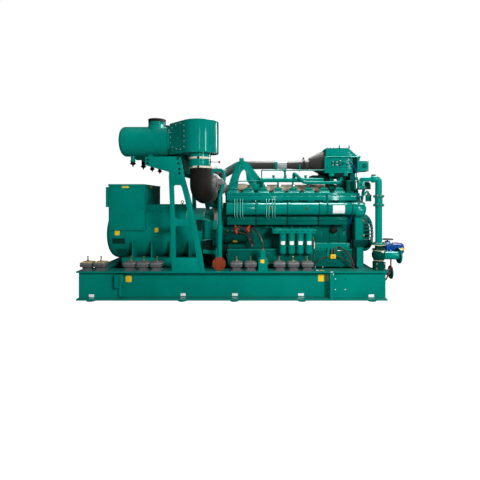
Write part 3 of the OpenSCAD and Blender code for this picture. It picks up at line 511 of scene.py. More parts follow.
def wrap(surface, radius, y0, z0):
    """Points (x, arc s, height h) laid round a cylinder: x, y0 - (r + h) cos s/r, z0 + (r + h) sin s/r."""
    points, loops, sizes = surface
    x, s, h = points.T
    turn, reach = s / radius, radius + h
    return np.stack((x, y0 - reach * np.cos(turn), z0 + reach * np.sin(turn)), 1), loops, sizes


def strip(x0, x1, s0, s1, h0, h1, n=12):
    """A thin sheet for wrap, cut into n steps along the arc."""
    corners = np.array(((x0, h0), (x0, h1), (x1, h1), (x1, h0)), float)
    s = np.linspace(s0, s1, n + 1)
    rings = np.empty((n + 1, 4, 3))
    rings[..., 0], rings[..., 1], rings[..., 2] = corners[None, :, 0], s[:, None], corners[None, :, 1]
    return skin(rings)


def plates(rows):
    """Thin plates on faces that look towards low Y: each row is x0, x1, z0, z1 and the face's y."""
    return join(*[block(x0, y - 3, z0, x1, y, z1, 1.0, 3.0, "y") for x0, x1, z0, z1, y in rows])


# Skid: bare name plates and the welds along the webs
deck, near_web, near_end_web = 457, -860, -940
piece("skid_labels", white, plates([(-2180, -2100, 42, 92, near_end_web), (-802, -722, 45, 88, near_web),
            (-5, 80, 45, 88, near_web), (1012, 1102, 45, 88, near_web), (2075, 2160, 42, 92, near_end_web)]),
    block(1273, -965, deck, 1323, -925, deck + 3, 1, 3))
piece("skid_yellow_plates", yellow,
    plates([(-1648, -1558, 262, 359, near_web), (1322, 1412, 272, 379, near_web)]),
    block(1335, -965, deck, 1398, -925, deck + 3, 1, 3))
weld_lines = [pipe([(a, y, z), (b, y, z)], 7, n=8) for z in (43, 434)
    for a, b, y in ((-2334, -1765, near_end_web), (-1705, 1420, near_web), (1522, 2334, near_end_web))]
piece("rail_welds", teal, both(*weld_lines))
piece("rail_pads", shade, both(*[lathe((x, -957, 0), UP, [(0, 66), (3, 70), (17, 70), (20, 66)], 32)
            for x in (-2137, -754, 35, 1056, 2118)]))
lug = [(-1762, 280), (-1755, 252), (-1735, 236), (-1716, 226), (-1716, 72), (-1712, 64), (-1676, 64),
    (-1670, 72), (-1670, 392), (-1680, 402), (-1745, 402), (-1762, 388)]
piece("rail_lug_cover", teal, both(slab(lug, -978, -900, "y", 5)))

# Spare vibration mounts, left loose on the near rail
mount_x = (-2210, -2008, -1557, -1357, -1155, 65, 280, 720, 930, 1144)
mount_places = grid(mount_x, -905, deck)


def cushion(rows):
    """Round-cornered outlines stacked up; each row is half length, half width, corner and height."""
    return loft([rect(-a, -b, a, b, r) for a, b, r, _ in rows], [h for *_, h in rows])


mount_body = join(
    cushion([(86, 88, 26, 0), (86, 88, 26, 8), (66, 70, 24, 18), (62, 66, 26, 38), (66, 72, 30, 50)]),
    cushion([(70, 76, 28, 52), (86, 93, 33, 57), (93, 100, 36, 66), (93, 100, 36, 88), (90, 97, 34, 92),
            (90, 97, 34, 97), (93, 100, 36, 101), (93, 100, 36, 114), (88, 95, 34, 121), (80, 86, 30, 122)]))
mount_top = cushion(
    [(80, 86, 30, 118), (80, 86, 30, 126), (76, 82, 28, 130), (52, 58, 24, 135), (24, 28, 14, 137)])
piece("mount_bodies", grey, repeat(mount_body, mount_places), replaces=("spare_mounts",), slot="grey_casting")
piece("mount_tops", grey, repeat(mount_top, mount_places[2:]))
# Bands round the bulge of each mount body in a lighter grey: a painted highlight along that edge
piece("mount_lip_highlights", highlight_grey, repeat(
        cushion([(92, 99, 35, 101), (95, 102, 36, 104), (95, 102, 36, 112), (91, 98, 35, 116)]),
        mount_places))
piece("mount_tops_tan", tan, repeat(mount_top, mount_places[:2]))
thread = [(137 + 5.4 * k + h, r) for k in range(13) for h, r in ((0, 9.8), (2.7, 8.6))]
stud = join(lathe(ORIGIN, UP, [(134, 24), (139, 24), (140, 23)], 20), bolts(UP, (0, 0, 139), 18, 16, False),
    lathe(ORIGIN, UP, thread, 12), bolts(UP, (0, 0, 201), 14, 10, False))
piece("mount_studs", zinc, repeat(stud, mount_places), replaces=("spare_mount_studs",), slot="stud_metal")

# Alternator: seams, louvres, bolt rings and bare plates
alt_r, alt_z, bell_end = 435, 950, -2146
# Start and end along X, start and end along the arc, and number of slats
louvre_rows = ((-2026, -1817, -154, -61, 6), (-1981, -1771, -400, -262, 7), (-637, -540, 60, 262, 9))
louvres, slats = [], []
for x0, x1, s0, s1, count in louvre_rows:
    louvres.append(strip(x0, x1, s0, s1, -3, 1.5))
    step = (s1 - s0) / count
    for k in range(count):
        low = s0 + step * (k + 0.4)
        slats.append(slab([(low, 0), (low + step * 0.3, 0), (low + step * 0.1, 6)], x0 + 5, x1 - 5, "x", 0))
# Near-black backs behind the slats: painted shade inside the louvres
piece("louvre_backs", painted_recess_shade, both(wrap(join(*louvres), alt_r, 0, alt_z)))
piece("louvre_slats", shade, both(wrap(join(*slats), alt_r, 0, alt_z)))
ring_rows = ((-1808, 14), (-524, 24))
piece("alternator_rings", teal, *[hollow((x, 0, alt_z), AHEAD,
            [(0, 430), (w, 430), (w, 440), (w - 2, 442), (2, 442), (0, 440)][::-1], 96)
        for x, w in ring_rows])
piece("alternator_bell_bolts", zinc, bolts(BACK, ring_places((bell_end, 0, alt_z), BACK, 290, 12), 11, 10))
grille = [band((bell_end, 0, alt_z), BACK, r - 8, r, 12, 60) for r in (90, 130, 170, 210, 250)]
piece("bell_grille", shade, *grille, lathe((bell_end, 0, alt_z), BACK, [(0, 76), (16, 74), (22, 60)], 40))
piece("alternator_plates", yellow, plates([(-1838, -1723, 1726, 1772, -490)]),
    wrap(strip(-1976, -1896, -8, 72, 0, 4), alt_r, 0, alt_z),
    wrap(strip(-1316, -1256, 42, 112, 0, 4), alt_r, 0, alt_z),
    block(-1462, -190, 1735, -1459, -60, 1771, 1, 3, "x"))
piece("terminal_box_doors", teal, both(block(-2046, -496, 1050, -1476, -490, 1716, 2.5, 14, "y"),
        block(-2062, -498, 1752, -1459, -486, 1788, 3)),
    block(-1462, -460, 1470, -1457, 460, 1716, 2, 12, "x"),
    both(block(-1462, -410, 1310, -800, -398, 1332, 3)), block(-808, -400, 1310, -796, 400, 1332, 3))
door_bolts = grid((-2024, -1760, -1498), -496, (1070, 1380, 1696))
piece("terminal_box_bolts", shade,
    both(bolts(NEAR, door_bolts, 8, 6), bolts(NEAR, grid(row(-1440, -830, 9), -410, 1321), 6, 5)),
    bolts(BACK, grid(-2109, (-450, -150, 150, 450), (1430, 1720)), 9, 7))
piece("lifting_eyes", shade, both(torus((-890, -270, 1492), FAR, 22, 7),
        lathe((-890, -270, 1448), UP, [(0, 24), (8, 24), (10, 12), (24, 10)], 16)))

# Coupling and flywheel housings
piece("housing_bolts", shade,
    *[bolts(way, ring_places((x, 0, alt_z), way, r, n), 11, 10)
        for way, x, r, n in ((BACK, -330, 452, 28), (AHEAD, -500, 420, 20), (AHEAD, -180, 445, 24))],
    both(bolts(NEAR, grid((-305, -205), -640, (830, 900, 970, 1030)), 12, 11)))
ribs = [[(-498, z - 7), (-332, z + lift - 7), (-332, z + lift + 7), (-498, z + 7)]
    for z, lift in ((1130, 40), (1010, 14), (880, -16), (760, -44))]
piece("housing_ribs", teal, both(*[slab(rib, -470, -396, "y", 3) for rib in ribs]))

# Stand of the air cleaners: black bolts and edge stiffeners
stand_bolts = [(-811, -1030, 2149), (-798, -1030, 2076), (-784, -1030, 1991), (-783, -1030, 1929),
    (-1259, -1030, 2131), (-1256, -1030, 2082)]
piece("stand_bolts", plastic, both(bolts(NEAR, stand_bolts, 13, 11)))
piece("stand_foot_bolts", zinc, both(bolts(UP, grid((-870, -750, -620, -500), -990, 469), 14, 12)))
# Top girder, inner leg, outer leg, middle brace and foot plate
stand_bars = (
    [(-1300, 2179), (-1300, 2050), (-943, 1949), (-937, 1750), (-690, 1750), (-674, 1750), (-708, 1877),
        (-764, 2179)],
    [(-937, 1770), (-900, 457), (-836, 457), (-838, 700), (-846, 1141), (-855, 1374), (-862, 1603),
        (-866, 1728), (-856, 1752), (-830, 1770)],
    [(-681, 1770), (-630, 1603), (-602, 1474), (-581, 1374), (-563, 1250), (-538, 1145), (-511, 1034),
        (-482, 916), (-443, 705), (-406, 457), (-500, 457), (-536, 705), (-566, 916), (-603, 1034),
        (-624, 1141), (-652, 1244), (-666, 1374), (-720, 1603), (-752, 1722), (-768, 1748), (-800, 1770)],
    [(-856, 1290), (-850, 1262), (-830, 1244), (-682, 1244), (-664, 1256), (-655, 1286), (-640, 1244),
        (-600, 1110), (-619, 1092), (-630, 1122), (-654, 1141), (-816, 1141), (-838, 1128), (-845, 1096),
        (-862, 1120)],
    [(-904, 600), (-900, 457), (-406, 457), (-428, 600), (-440, 664), (-560, 664), (-820, 664), (-870, 664)],
)
piece("stand_plates", teal,
    both(*[slab(bar, -1030 + 0.7 * k, -1010 + 0.7 * k, "y", 2) for k, bar in enumerate(stand_bars)]),
    replaces=("stand_near", "stand_far"))
piece("stand_feet", teal, both(block(-915, -1012, deck, -400, -930, deck + 12, 3, 6),
        slab([(-895, deck + 12), (-880, deck + 12), (-935, 1900), (-950, 1900)], -1010, -975, "y", 2),
        slab([(-425, deck + 12), (-410, deck + 12), (-508, 1034), (-604, 1474), (-710, 1870), (-722, 1870),
                (-619, 1474), (-522, 1034)], -1010, -975, "y", 2)))

# Air cleaners with black rims, clamps and dust valves
cleaner_y, cleaner_z = (-810, -270, 270, 810), 2432
across = grid(0, cleaner_y, 0)
dome = [(60 * (1 - np.cos(t)), 169 + 60 * np.sin(t)) for t in np.linspace(0, pi / 2, 9)]
can = lathe((-1712, 0, cleaner_z), AHEAD, dome + [(728, 229)], 96)
stub = hollow((-1176, 0, cleaner_z + 150), UP,
    [(0, 60), (0, 131), (194, 131), (194, 123), (20, 123), (20, 60)], 64)
piece("air_cleaner_cans", teal, repeat(join(can, stub), across), replaces=("air_cleaners",))
stub_x = np.linspace(-130, 130, 25)
foot_z = 2532 + 0.98 * np.abs(stub_x)
saddle = np.empty((25, 4, 3))
saddle[..., 0] = (-1176 + stub_x)[:, None]
saddle[:, :2, 1] = -np.stack(
    (np.sqrt(131.5 ** 2 - stub_x ** 2), 2 + np.sqrt(229 ** 2 - (foot_z - cleaner_z) ** 2)), 1)
saddle[:, 2:, 1] = saddle[:, 1::-1, 1] + 14
saddle[..., 2] = np.stack((np.full(25, 2690.0), foot_z, foot_z, np.full(25, 2690.0)), 1)
piece("stub_saddles", teal, repeat(both(skin(saddle)), across))
rim = hollow((-1176, 0, 2777), UP, [(-46, 130), (-46, 134), (-3, 135), (-1, 132), (-1, 124), (-20, 122)], 64)
piece("stub_rims", rubber, repeat(rim, across))
lips = [(0, 5), (16, 9), (30, 17), (40, 34), (48, 43), (58, 44), (66, 40), (72, 30)]
collar = [(100, 30), (104, 34), (122, 34), (126, 30), (150, 30)]
piece("dust_valve_rubbers", rubber, repeat(lathe((-1552, 0, 2041), UP, lips + collar, 28), across[1:]),
    repeat(lathe((-1552, 0, 2041), UP, lips + [(96, 30)], 28), across[:1]), replaces=("dust_valves",),
    slot="black_rubber")
piece("dust_valve_stubs", teal,
    repeat(lathe((-1552, 0, 2120), UP, [(0, 36), (4, 38), (24, 38), (28, 33), (110, 33)], 28), across[:1]),
    repeat(rod((-1552, 0, 2180), UP, 33, 50, 28), across[1:]))

# Plenum with the drum: riveted wall panel, clamps on the neck, and a sampling rod with a black knob
drum = np.array((-470.0, -1070.0))
arc = np.radians(np.linspace(225, 405, 61))
outline = np.concatenate(([(-946, 1040), (-946, -971)], drum + 275 * np.stack((np.cos(arc), np.sin(arc)), 1),
        [(-650, -875.5), (-650, 1040)]))
spigots = repeat(boss((-990, 0, cleaner_z), AHEAD, 192, 10, 184, 46, 64), across)
drum_neck = lathe((*drum, 2006), UP, [(0, 158), (206, 158), (212, 170)], 72)
piece("plenum_and_drum", gloss, slab(outline, 2212, 2684, "z", 9, 3), spigots, drum_neck, sharp=25,
    replaces=("air_plenum",))
wall_a, wall_b = np.array((-946.0, -971.0)), drum + 275 * np.array((np.cos(arc[0]), np.sin(arc[0])))


def on_wall(t, z):
    """A place on the slanting wall, t of the way from its far left edge to the drum."""
    return np.array((*(wall_a + (wall_b - wall_a) * t), z))


rivet_rows = [(0.06, 2548), (0.06, 2470), (0.06, 2393), (0.17, 2612), (0.44, 2641), (0.74, 2645),
    (0.97, 2603), (0.97, 2522), (0.97, 2448), (0.97, 2373), (0.97, 2297), (0.2, 2320), (0.47, 2286),
    (0.74, 2264)]
rivet_axis = (-0.7071, -0.7071, 0.0)
rivet = lathe(ORIGIN, rivet_axis, [(0, 7), (3, 6), (5, 4), (6, 2)], 12)
piece("panel_rivets", cream, repeat(rivet, [on_wall(t, z) for t, z in rivet_rows]))
piece("neck_clamps", cream, band((*drum, 2130), UP, 157, 163, 28, 72),
    band((-458, -1070, 1996), UP, 158, 165, 28, 72))
piece("neck_clamp_bolts", plastic, block(-482, -1246, 2130, -456, -1228, 2158, 3),
    block(-482, -1250, 1998, -456, -1232, 2022, 3))
piece("sampling_rod", cream, pipe([(-330, -1070, 2093), (-190, -1070, 2093)], 8, n=12))
piece("sampling_knob", plastic,
    lathe((-196, -1070, 2093), AHEAD, [(0, 10), (6, 17), (16, 18), (24, 13), (27, 6)], 20),
    rod((-318, -1070, 2093), AHEAD, 16, 12, 16))

# Rubber intake elbow with its grey cuff, and the turbocharger's clamps and bolts
shaft = np.array((np.sin(radians(15)), np.cos(radians(15)), 0.0))
start = np.array((*drum, 1750.0))


def on_shaft(out):
    """A place on the turbocharger's shaft line, measured from the drum's axis."""
    return start + shaft * out


drop = np.array((14.0, 0.0, -108.0))
elbow_path = [(-456, -1070, 2012), start + drop, on_shaft(262) + drop, on_shaft(404)]
piece("rubber_elbow", rubber, pipe(elbow_path, 162, 190, 72, bends=24), replaces=("intake_elbow",),
    slot="black_rubber")
piece("elbow_cuff", hose,
    hollow(on_shaft(112) + drop, shaft, [(0, 158), (5, 169), (146, 173), (152, 166), (152, 150)], 72))
piece("turbo_clamps", steel, band(on_shaft(216) + drop, shaft, 170, 173, 16, 72),
    band(on_shaft(548), shaft, 138, 148, 14, 48),
    bolts(shaft, ring_places(on_shaft(473), shaft, 170, 12), 9, 8),
    bolts(-shaft, ring_places(on_shaft(347), shaft, 170, 12), 9, 8))

# Turbocharger: machined ring, struts and nuts between the cuff and the volute
piece("turbo_ring", turbo_grey,
    hollow(on_shaft(262), shaft, [(0, 172), (0, 182), (10, 184), (14, 180), (14, 172)], 64),
    *[pipe([on_shaft(266) + 176 * arm, on_shaft(330) + 196 * arm, on_shaft(388) + 208 * arm], 9, 30, 10)
        for arm in circle(10, 0.3) @ basis(shaft)[:2]],
    bolts(-shaft, ring_places(on_shaft(262), shaft, 178, 16), 8, 9, False))
piece("turbo_actuator", turbo_grey, lathe(on_shaft(250) + (214, -20, 60), shaft,
        [(0, 20), (4, 44), (30, 48), (34, 48), (60, 44), (66, 16), (120, 12)], 28),
    pipe([on_shaft(300) + (200, 20, 60), on_shaft(420) + (190, 20, 20)], 6, n=8))
piece("turbo_bracket", deep, slab(
        [(-247, 1717), (-180, 1690), (-176, 1369), (-420, 1425), (-424, 1452), (-382, 1535), (-303, 1591)],
        -690, -560, "y", 5))
piece("housing_cover", teal,
    loft([rect(-494, -540, -276, -400, 60)] * 2 + [rect(-490, -534, -280, -404, 56)], [898, 1180, 1200]),
    slab([(-500, 655), (-296, 640), (-296, 700), (-500, 722)], -535, -470, "y", 3))
# Thin pale rods along the housing cover's edges: painted highlights
piece("housing_edge_highlights", pale, pipe([(-502, -545, 1222), (-440, -545, 1212), (-372, -545, 1186)], 5, n=8),
    pipe([(-500, -545, 872), (-290, -545, 900)], 5, n=8))
# A near-black block in the housing's opening: painted shade
piece("housing_hole", painted_recess_shade, block(-494, -536, 727, -292, -500, 862, 3))
piece("knob_row", plastic, bolts(NEAR, grid(-122, -640, (1190, 1090, 970, 860, 760)), 14, 14, False))

# Cylinder heads, rocker covers and the rails along both banks
head_places = grid(-15 + 250 * np.arange(8), 0, 0)
head = join(block(-118, -578, 1480, 118, -182, 1640, 7, 14),
    bolts(UP, grid((-105, 105), (-555, -380, -205), 1640), 9, 8, False))
piece("heads", shade, both(repeat(head, head_places)), replaces=("cylinder_heads",))
cover_rows = [(104, 149, 26, 1640), (104, 149, 26, 1652), (100, 145, 24, 1656), (92, 140, 22, 1661),
    (90, 138, 22, 1678), (82, 132, 20, 1687), (44, 100, 16, 1690), (42, 98, 16, 1702), (60, 114, 20, 1705),
    (62, 116, 20, 1718), (56, 110, 18, 1727), (30, 84, 14, 1731)]
cover = join(
    loft([rect(-a, -375 - b, a, -375 + b, r) for a, b, r, _ in cover_rows], [z for *_, z in cover_rows]),
    *[lathe((-8, y, 1729), UP, [(0, 26), (6, 26), (8, 17), (12, 17), (13, 10), (15, 10)], 20)
        for y in (-460, -290)],
    block(-68, -500, 1695, -40, -420, 1712, 3, 6), block(30, -500, 1695, 64, -430, 1716, 3, 6),
    bolts(UP, grid((-86, 86), (-500, -375, -250), 1656), 8, 8, False))
piece("covers", teal, both(repeat(cover, head_places)), replaces=("rocker_covers",))
head_rail = [(-580, 1519), (-654, 1519), (-660, 1525), (-660, 1586), (-655, 1592), (-645, 1594), (-644, 1598),
    (-650, 1604), (-651, 1636), (-647, 1644), (-638, 1648), (-588, 1648), (-580, 1642)]
side_rail = [(-500, 1126), (-612, 1126), (-620, 1133), (-620, 1181), (-613, 1188), (-613, 1194), (-619, 1200),
    (-619, 1244), (-615, 1253), (-606, 1258), (-500, 1258)]
rail_cuts = (-100, 357, 369, 859, 871, 1361, 1373, 1830)
piece("head_rails", gloss, both(slab(head_rail, -105, 1966, "x", 3)), replaces=("bank_rails",), sharp=25)
# The side rails are in the half-bright teal: painted shade from the manifold above them
piece("side_rails", shade,
    both(*[slab(side_rail, a, b, "x", 3) for a, b in zip(rail_cuts[::2], rail_cuts[1::2])]), sharp=25)
# Near-black blocks behind the gaps between rail lengths: painted shade in the joints
piece("rail_joints", painted_recess_shade,
    both(*[block(x - 10, -624, 1116, x + 10, -500, 1262, 2) for x in (363, 865, 1367)]))
piece("rail_bolts", teal, both(bolts(NEAR, grid(row(-60, 1930, 17), -651, 1622), 8, 7),
        bolts(UP, grid(row(-60, 1790, 15), -560, 1258), 8, 7)))
piece("gap_details", bright, both(
        bolts(NEAR, grid((540, 620, 705, 828, 941, 1079, 1210, 1336), -600, 1085), 9, 12),
        block(470, -500, 1076, 1380, -440, 1080, 1)))
piece("rail_strap", shade, both(pipe([(1500, -662, 1622), (1500, -668, 1510), (1500, -722, 1462),
                (1500, -734, 1400), (1500, -724, 1320)], 9, 40, 10)))

# Intake manifolds: a long tube with sleeves at its joints, and an elbow to every head
tube_joints = (360, 864, 1370, 1893)
tube_r, tube_z = 106, 1391
tube_axis = (0, -620, tube_z)
tube = [(-112, 86), (-108, 98), (-100, tube_r)]
sleeve = ((-9, tube_r), (-8, 94), (0, 94), (1, 110), (5, 112), (48, 112), (52, tube_r))
for x in tube_joints:
    tube += [(x + step, r) for step, r in sleeve]
tube += [(2078, tube_r), (2102, 98), (2113, 82)]
runner = pipe([(0, -610, 1430), (0, -606, 1500), (0, -565, 1545)], 44, 40, 24)
clip = join(block(-56, -672, 1488, 56, -560, 1520, 4, 12),
    bolts(NEAR, [(-42, -672, 1504), (42, -672, 1504)], 8, 8))
piece("intake_tubes", gloss, both(lathe(tube_axis, AHEAD, tube, 64), repeat(runner, head_places)),
    replaces=("intake_manifolds",))
piece("runner_clips", shade, both(repeat(clip, head_places)))
# Near-black rings in the grooves at the tube's joints: painted shade
piece("tube_bands", painted_recess_shade, both(*[band((x - 8, -620, tube_z), AHEAD, 92, 99, 8, 48) for x in tube_joints]))


def sector(centre, axis, profile, start, end, n=14):
    """A closed profile of (along, radius) turned round an axis from one angle to another, in degrees."""
    u, v, w = basis(axis)
    along, radius = np.array(profile, float).T
    t = np.radians(np.linspace(start, end, n + 1))
    arm = np.stack((np.cos(t), np.sin(t)), 1) @ np.stack((u, v))
    return skin(np.asarray(centre, float) + along[None, :, None] * w + radius[None, :, None] * arm[:, None])


def curved_plate(centre, axis, a, b, radius, start, end):
    """A plate 2 mm thick laid round a cylinder."""
    profile = [(b, radius - 1), (b, radius + 2), (a, radius + 2), (a, radius - 1)]
    return sector(centre, axis, profile, start, end)


piece("tube_plate", white, curved_plate(tube_axis, AHEAD, 1580, 1770, tube_r, 151, 226))
piece("tube_notes", blue, curved_plate(tube_axis, AHEAD, 1522, 1572, tube_r, 206, 214))
piece("tube_valves", brass, *[join(
            lathe((x, -728, 1374), UP, [(0, 9), (10, 9), (11, 13), (24, 13), (25, 9), (42, 8), (46, 4)], 14),
            lathe((x, -728, 1386), (1, -0.4, 0.4), [(-24, 8), (24, 8)], 10)) for x in (596, 1168)])
sense_x = (25, 63, 114, 152, 529, 569, 624, 662)
sense_line = pipe(
    [(0, -655, 1545), (0, -690, 1530), (0, -734, 1460), (0, -734, 1330), (0, -700, 1265), (14, -628, 1235)],
    6.5, 60, 8)
piece("sense_lines", pale, repeat(sense_line, grid(sense_x, 0, 0)))

# Lagged exhaust pipe between the banks, with steel bands over its seams
bundle = [(-185, 80), (-181, 97)]
for k in range(9):
    bundle += [(-150 + 245 * k, 99), (-140 + 245 * k, 94), (-132 + 245 * k, 94), (-122 + 245 * k, 99)]
bundle += [(1895, 97), (1900, 80)]
piece("lagged_pipe", lagging, lathe((0, 0, 1700), AHEAD, bundle, 40), replaces=("exhaust_manifold",),
    slot="lagging")
piece("lagging_bands", steel,
    *[band((x, 0, 1700), AHEAD, 97, 100, 14, 40) for x in (45, 290, 535, 780, 1025, 1270, 1515, 1760)])

# Crankcase: covers with bolts, ledge, port and the base's access doors
door_x, base_door_x = (315, 460, 1405, 1650, 1800), (120, 640, 1050, 1500)
doors = join(*[block(x - 62, -412, 790, x + 62, -400, 1010, 4, 24, "y") for x in door_x])
door_heads = [(x + dx, -412, z) for x in door_x for dx in (-50, 50) for z in (804, 900, 996)]
piece("crankcase_doors", shade, both(doors, bolts(NEAR, door_heads, 7, 7)))
piece("crankcase_port", plastic,
    lathe((1652, -400, 1034), NEAR, [(0, 56), (74, 56), (78, 42), (88, 42), (90, 24)], 28))
piece("front_ledge", teal, both(block(1314, -638, 742, 1868, -560, 838, 5, 10)),
    block(1499, -642, 596, 1532, -620, 750, 3))
# A pale strip on the ledge's top edge: a painted highlight
piece("front_ledge_highlight", pale,
    both(block(1330, -640, 832, 1500, -634, 839, 1), block(1545, -640, 832, 1800, -634, 839, 1)))
piece("base_ledge", teal,
    both(block(-96, -634, 716, 1902, -600, 740, 6), bolts(UP, grid(row(-60, 1870, 24), -612, 739), 8, 8)))
base_doors = join(*[block(x - 150, -628, 500, x + 150, -619, 690, 3, 20, "y") for x in base_door_x])
base_heads = [(x + dx, -628, z) for x in base_door_x for dx in (-135, 0, 135) for z in (514, 676)]
piece("base_doors", shade, both(base_doors, bolts(NEAR, base_heads, 7, 6)))
# Near-black blocks in the gaps at the engine's ends and under the cooler: painted shade
piece("engine_end_gap", painted_recess_shade, both(block(1903, -560, 459, 2024, -330, 880, 3),
        block(1880, -420, 700, 1962, -330, 1120, 3), block(-176, -480, 640, -92, -420, 800, 3)),
    block(1836, -150, 1641, 1962, 150, 1976, 3))
piece("front_box", deep, both(block(1936, -604, 762, 2214, -430, 884, 5, 10)))
piece("column_head", teal, both(slab(
            [(-606, 1250), (-700, 1268), (-736, 1300), (-736, 1366), (-726, 1376), (-606, 1376)], 1936, 2066,
            "x", 3)))
piece("gear_end", shade, block(1966, -560, 1291, 2052, -470, 1640, 6, 12),
    block(1975, -540, 1640, 2030, -480, 1900, 6, 12))

# Gear cover with its bolts, and the caged vibration damper
cover_heads = [(2107, y, z) for y in (-570, -300, 0, 300, 570) for z in (915, 1262)]
cover_heads += [(2107, y, z) for y in (-570, 570) for z in (1030, 1150)]
piece("gear_cover_bolts", shade, bolts(AHEAD, cover_heads, 12, 11))
piece("gear_cover_seams", shade,
    both(block(1957, -606, 880, 1972, -560, 1296, 3), block(2090, -606, 890, 2104, -560, 1286, 3)))
piece("gear_cover_bolts_bright", zinc, both(bolts(NEAR, [(2098, -606, 960), (2098, -606, 1190)], 12, 11)))
cage_turns = np.radians(np.arange(32) * 360 / 32)
cage_rods = [pipe([(2186, 318 * c, alt_z + 318 * s), (2306, 318 * c, alt_z + 318 * s),
            (2358, 270 * c, alt_z + 270 * s), (2358, 168 * c, alt_z + 168 * s)], 10, 40, 8, bends=4)
    for c, s in zip(np.cos(cage_turns), np.sin(cage_turns))]
piece("damper_cage", bright, *cage_rods, *[torus((x, 0, alt_z), AHEAD, r, 7, 64, 8)
        for x, r in ((2190, 318), (2358, 270), (2358, 218), (2358, 168))],
    lathe((2110, 0, alt_z), AHEAD, [(0, 150), (80, 150), (82, 120)], 48), replaces=("damper_guard",),
    slot="shade_paint")
# A near-black drum inside the cage: painted shade within the damper guard
piece("damper_core", painted_recess_shade, lathe((2196, 0, alt_z), AHEAD,
        [(0, 240), (4, 288), (92, 288), (100, 280), (108, 240), (116, 236), (118, 120)], 64))

# Starter motor with its solenoid, cables and bare plate
starter_axis = (0, -530, 930)
piece("starter", deep, lathe((-180, -530, 930), AHEAD, [(0, 60), (0, 84), (50, 84), (52, 97), (120, 97),
            (124, 92), (330, 92), (334, 97), (352, 97), (356, 88), (400, 86), (414, 70), (430, 40)], 48),
    lathe((-120, -592, 1030), AHEAD, [(0, 30), (4, 44), (170, 44), (174, 38), (196, 36), (200, 20)], 32),
    block(-110, -600, 940, 20, -540, 1010, 5, 10), replaces=("starter_motor",), slot="shade_paint")
piece("starter_bolts", zinc, bolts(AHEAD, ring_places((250, -530, 930), AHEAD, 62, 4, 0.6), 8, 8),
    bolts(NEAR, grid((-90, -20), -640, 1034), 8, 8),
    bolts(AHEAD, [(80, -592, 1052), (80, -592, 1012)], 7, 14))
piece("starter_plate", yellow, curved_plate(starter_axis, AHEAD, -8, 62, 92, 222, 256))
boot = [(0, 10), (4, 20), (32, 23), (42, 16), (76, 12)]
piece("red_boots", red, lathe((70, -610, 1058), (-0.6, -0.3, 0.74), boot, 16),
    lathe((252, -600, 1020), (-0.5, -0.3, 0.8), boot, 16),
    lathe((222, -600, 1062), (0.5, -0.4, 0.6), boot, 16),
    lathe((40, -612, 1050), (0.2, -0.5, -0.8), boot, 16))
# Radius, number of points round it, and way of every cable
cables = (
    (13, 12, [(40, -620, 1098), (90, -640, 1110), (150, -640, 1070), (222, -640, 1010), (262, -620, 920),
        (300, -600, 800)]),
    (12, 12, [(246, -612, 1066), (300, -620, 1040), (322, -620, 960), (300, -610, 880), (330, -600, 800)]),
    (10, 12, [(60, -620, 1040), (110, -650, 990), (170, -650, 1000), (230, -640, 940), (262, -620, 850)]),
    (8, 10, [(-40, -640, 1050), (40, -655, 1085), (130, -650, 1095), (200, -640, 1080), (330, -560, 1070)]),
)
piece("starter_cables", hose, *[pipe(way, r, 60, n) for r, n, way in cables])
piece("starter_clamps", zinc, rod((262, -626, 902), (0.2, 0, -1), 16, 18, 12),
    rod((300, -604, 812), DOWN, 15, 30, 12))

# Oil filters with bare labels, under their header
filter_x, filter_y = row(783, 1191, 4), -765
filter_places = grid(filter_x, filter_y, 687)
canister = lathe(ORIGIN, UP, [(0, 40), (2, 49), (8, 55), (18, 57), (246, 57), (250, 53), (256, 53), (260, 57),
        (302, 57), (306, 51), (317, 51)], 40)
piece("filter_cans", teal, repeat(canister, filter_places), replaces=("oil_filters",))
piece("filter_labels", white, repeat(curved_plate(ORIGIN, UP, 144, 200, 57, 238, 304), filter_places))
piece("filter_block", teal, block(617, -820, 1004, 1291, -400, 1078, 9, 16),
    block(660, -806, 1076, 760, -700, 1090, 4, 10),
    *[rod((x, filter_y, 996), UP, 58, 10, 40) for x in filter_x], replaces=("filter_header",))
piece("filter_block_bolts", shade, bolts(NEAR, grid(row(650, 1260, 8), -820, 1042), 10, 9),
    bolts(UP, grid((700, 919, 1191), (-780, -560), 1078), 11, 10),
    boss((1291, -760, 1042), AHEAD, 26, 14, 16, 34, 20))
piece("filter_drain", cream, rod((1274, -792, 764), UP, 10, 112, 12))
piece("filter_drain_cock", brass,
    lathe((1272, -792, 872), (-0.2, 0, 1), [(0, 8), (18, 12), (56, 12), (64, 8), (84, 8)], 14))
piece("filter_drain_hose", hose,
    pipe([(1274, -792, 770), (1272, -792, 700), (1262, -795, 600), (1250, -800, 500)], 13, 60, 12))

# Junction pedestal
pedestal_x, pedestal_y = 467, -920
piece("pedestal_plate", yellow, plates([(432, 486, 576, 630, -990)]))
piece("pedestal_bolts", zinc,
    bolts(UP, [(pedestal_x + dx, pedestal_y + dy, 636) for dx in (-56, 56) for dy in (-56, 56)], 7, 6),
    boss((pedestal_x, pedestal_y, 763), UP, 24, 10, 18, 26, 20))
piece("pedestal_cock", brass, lathe((548, -900, 540), (0.3, 0, 1), [(0, 7), (14, 10), (34, 10), (40, 6)], 12))
piece("pedestal_rod", plastic, pipe([(560, -900, 552), (650, -900, 546)], 9, n=10),
    pipe([(545, -900, 540), (532, -900, 500)], 7, n=8))

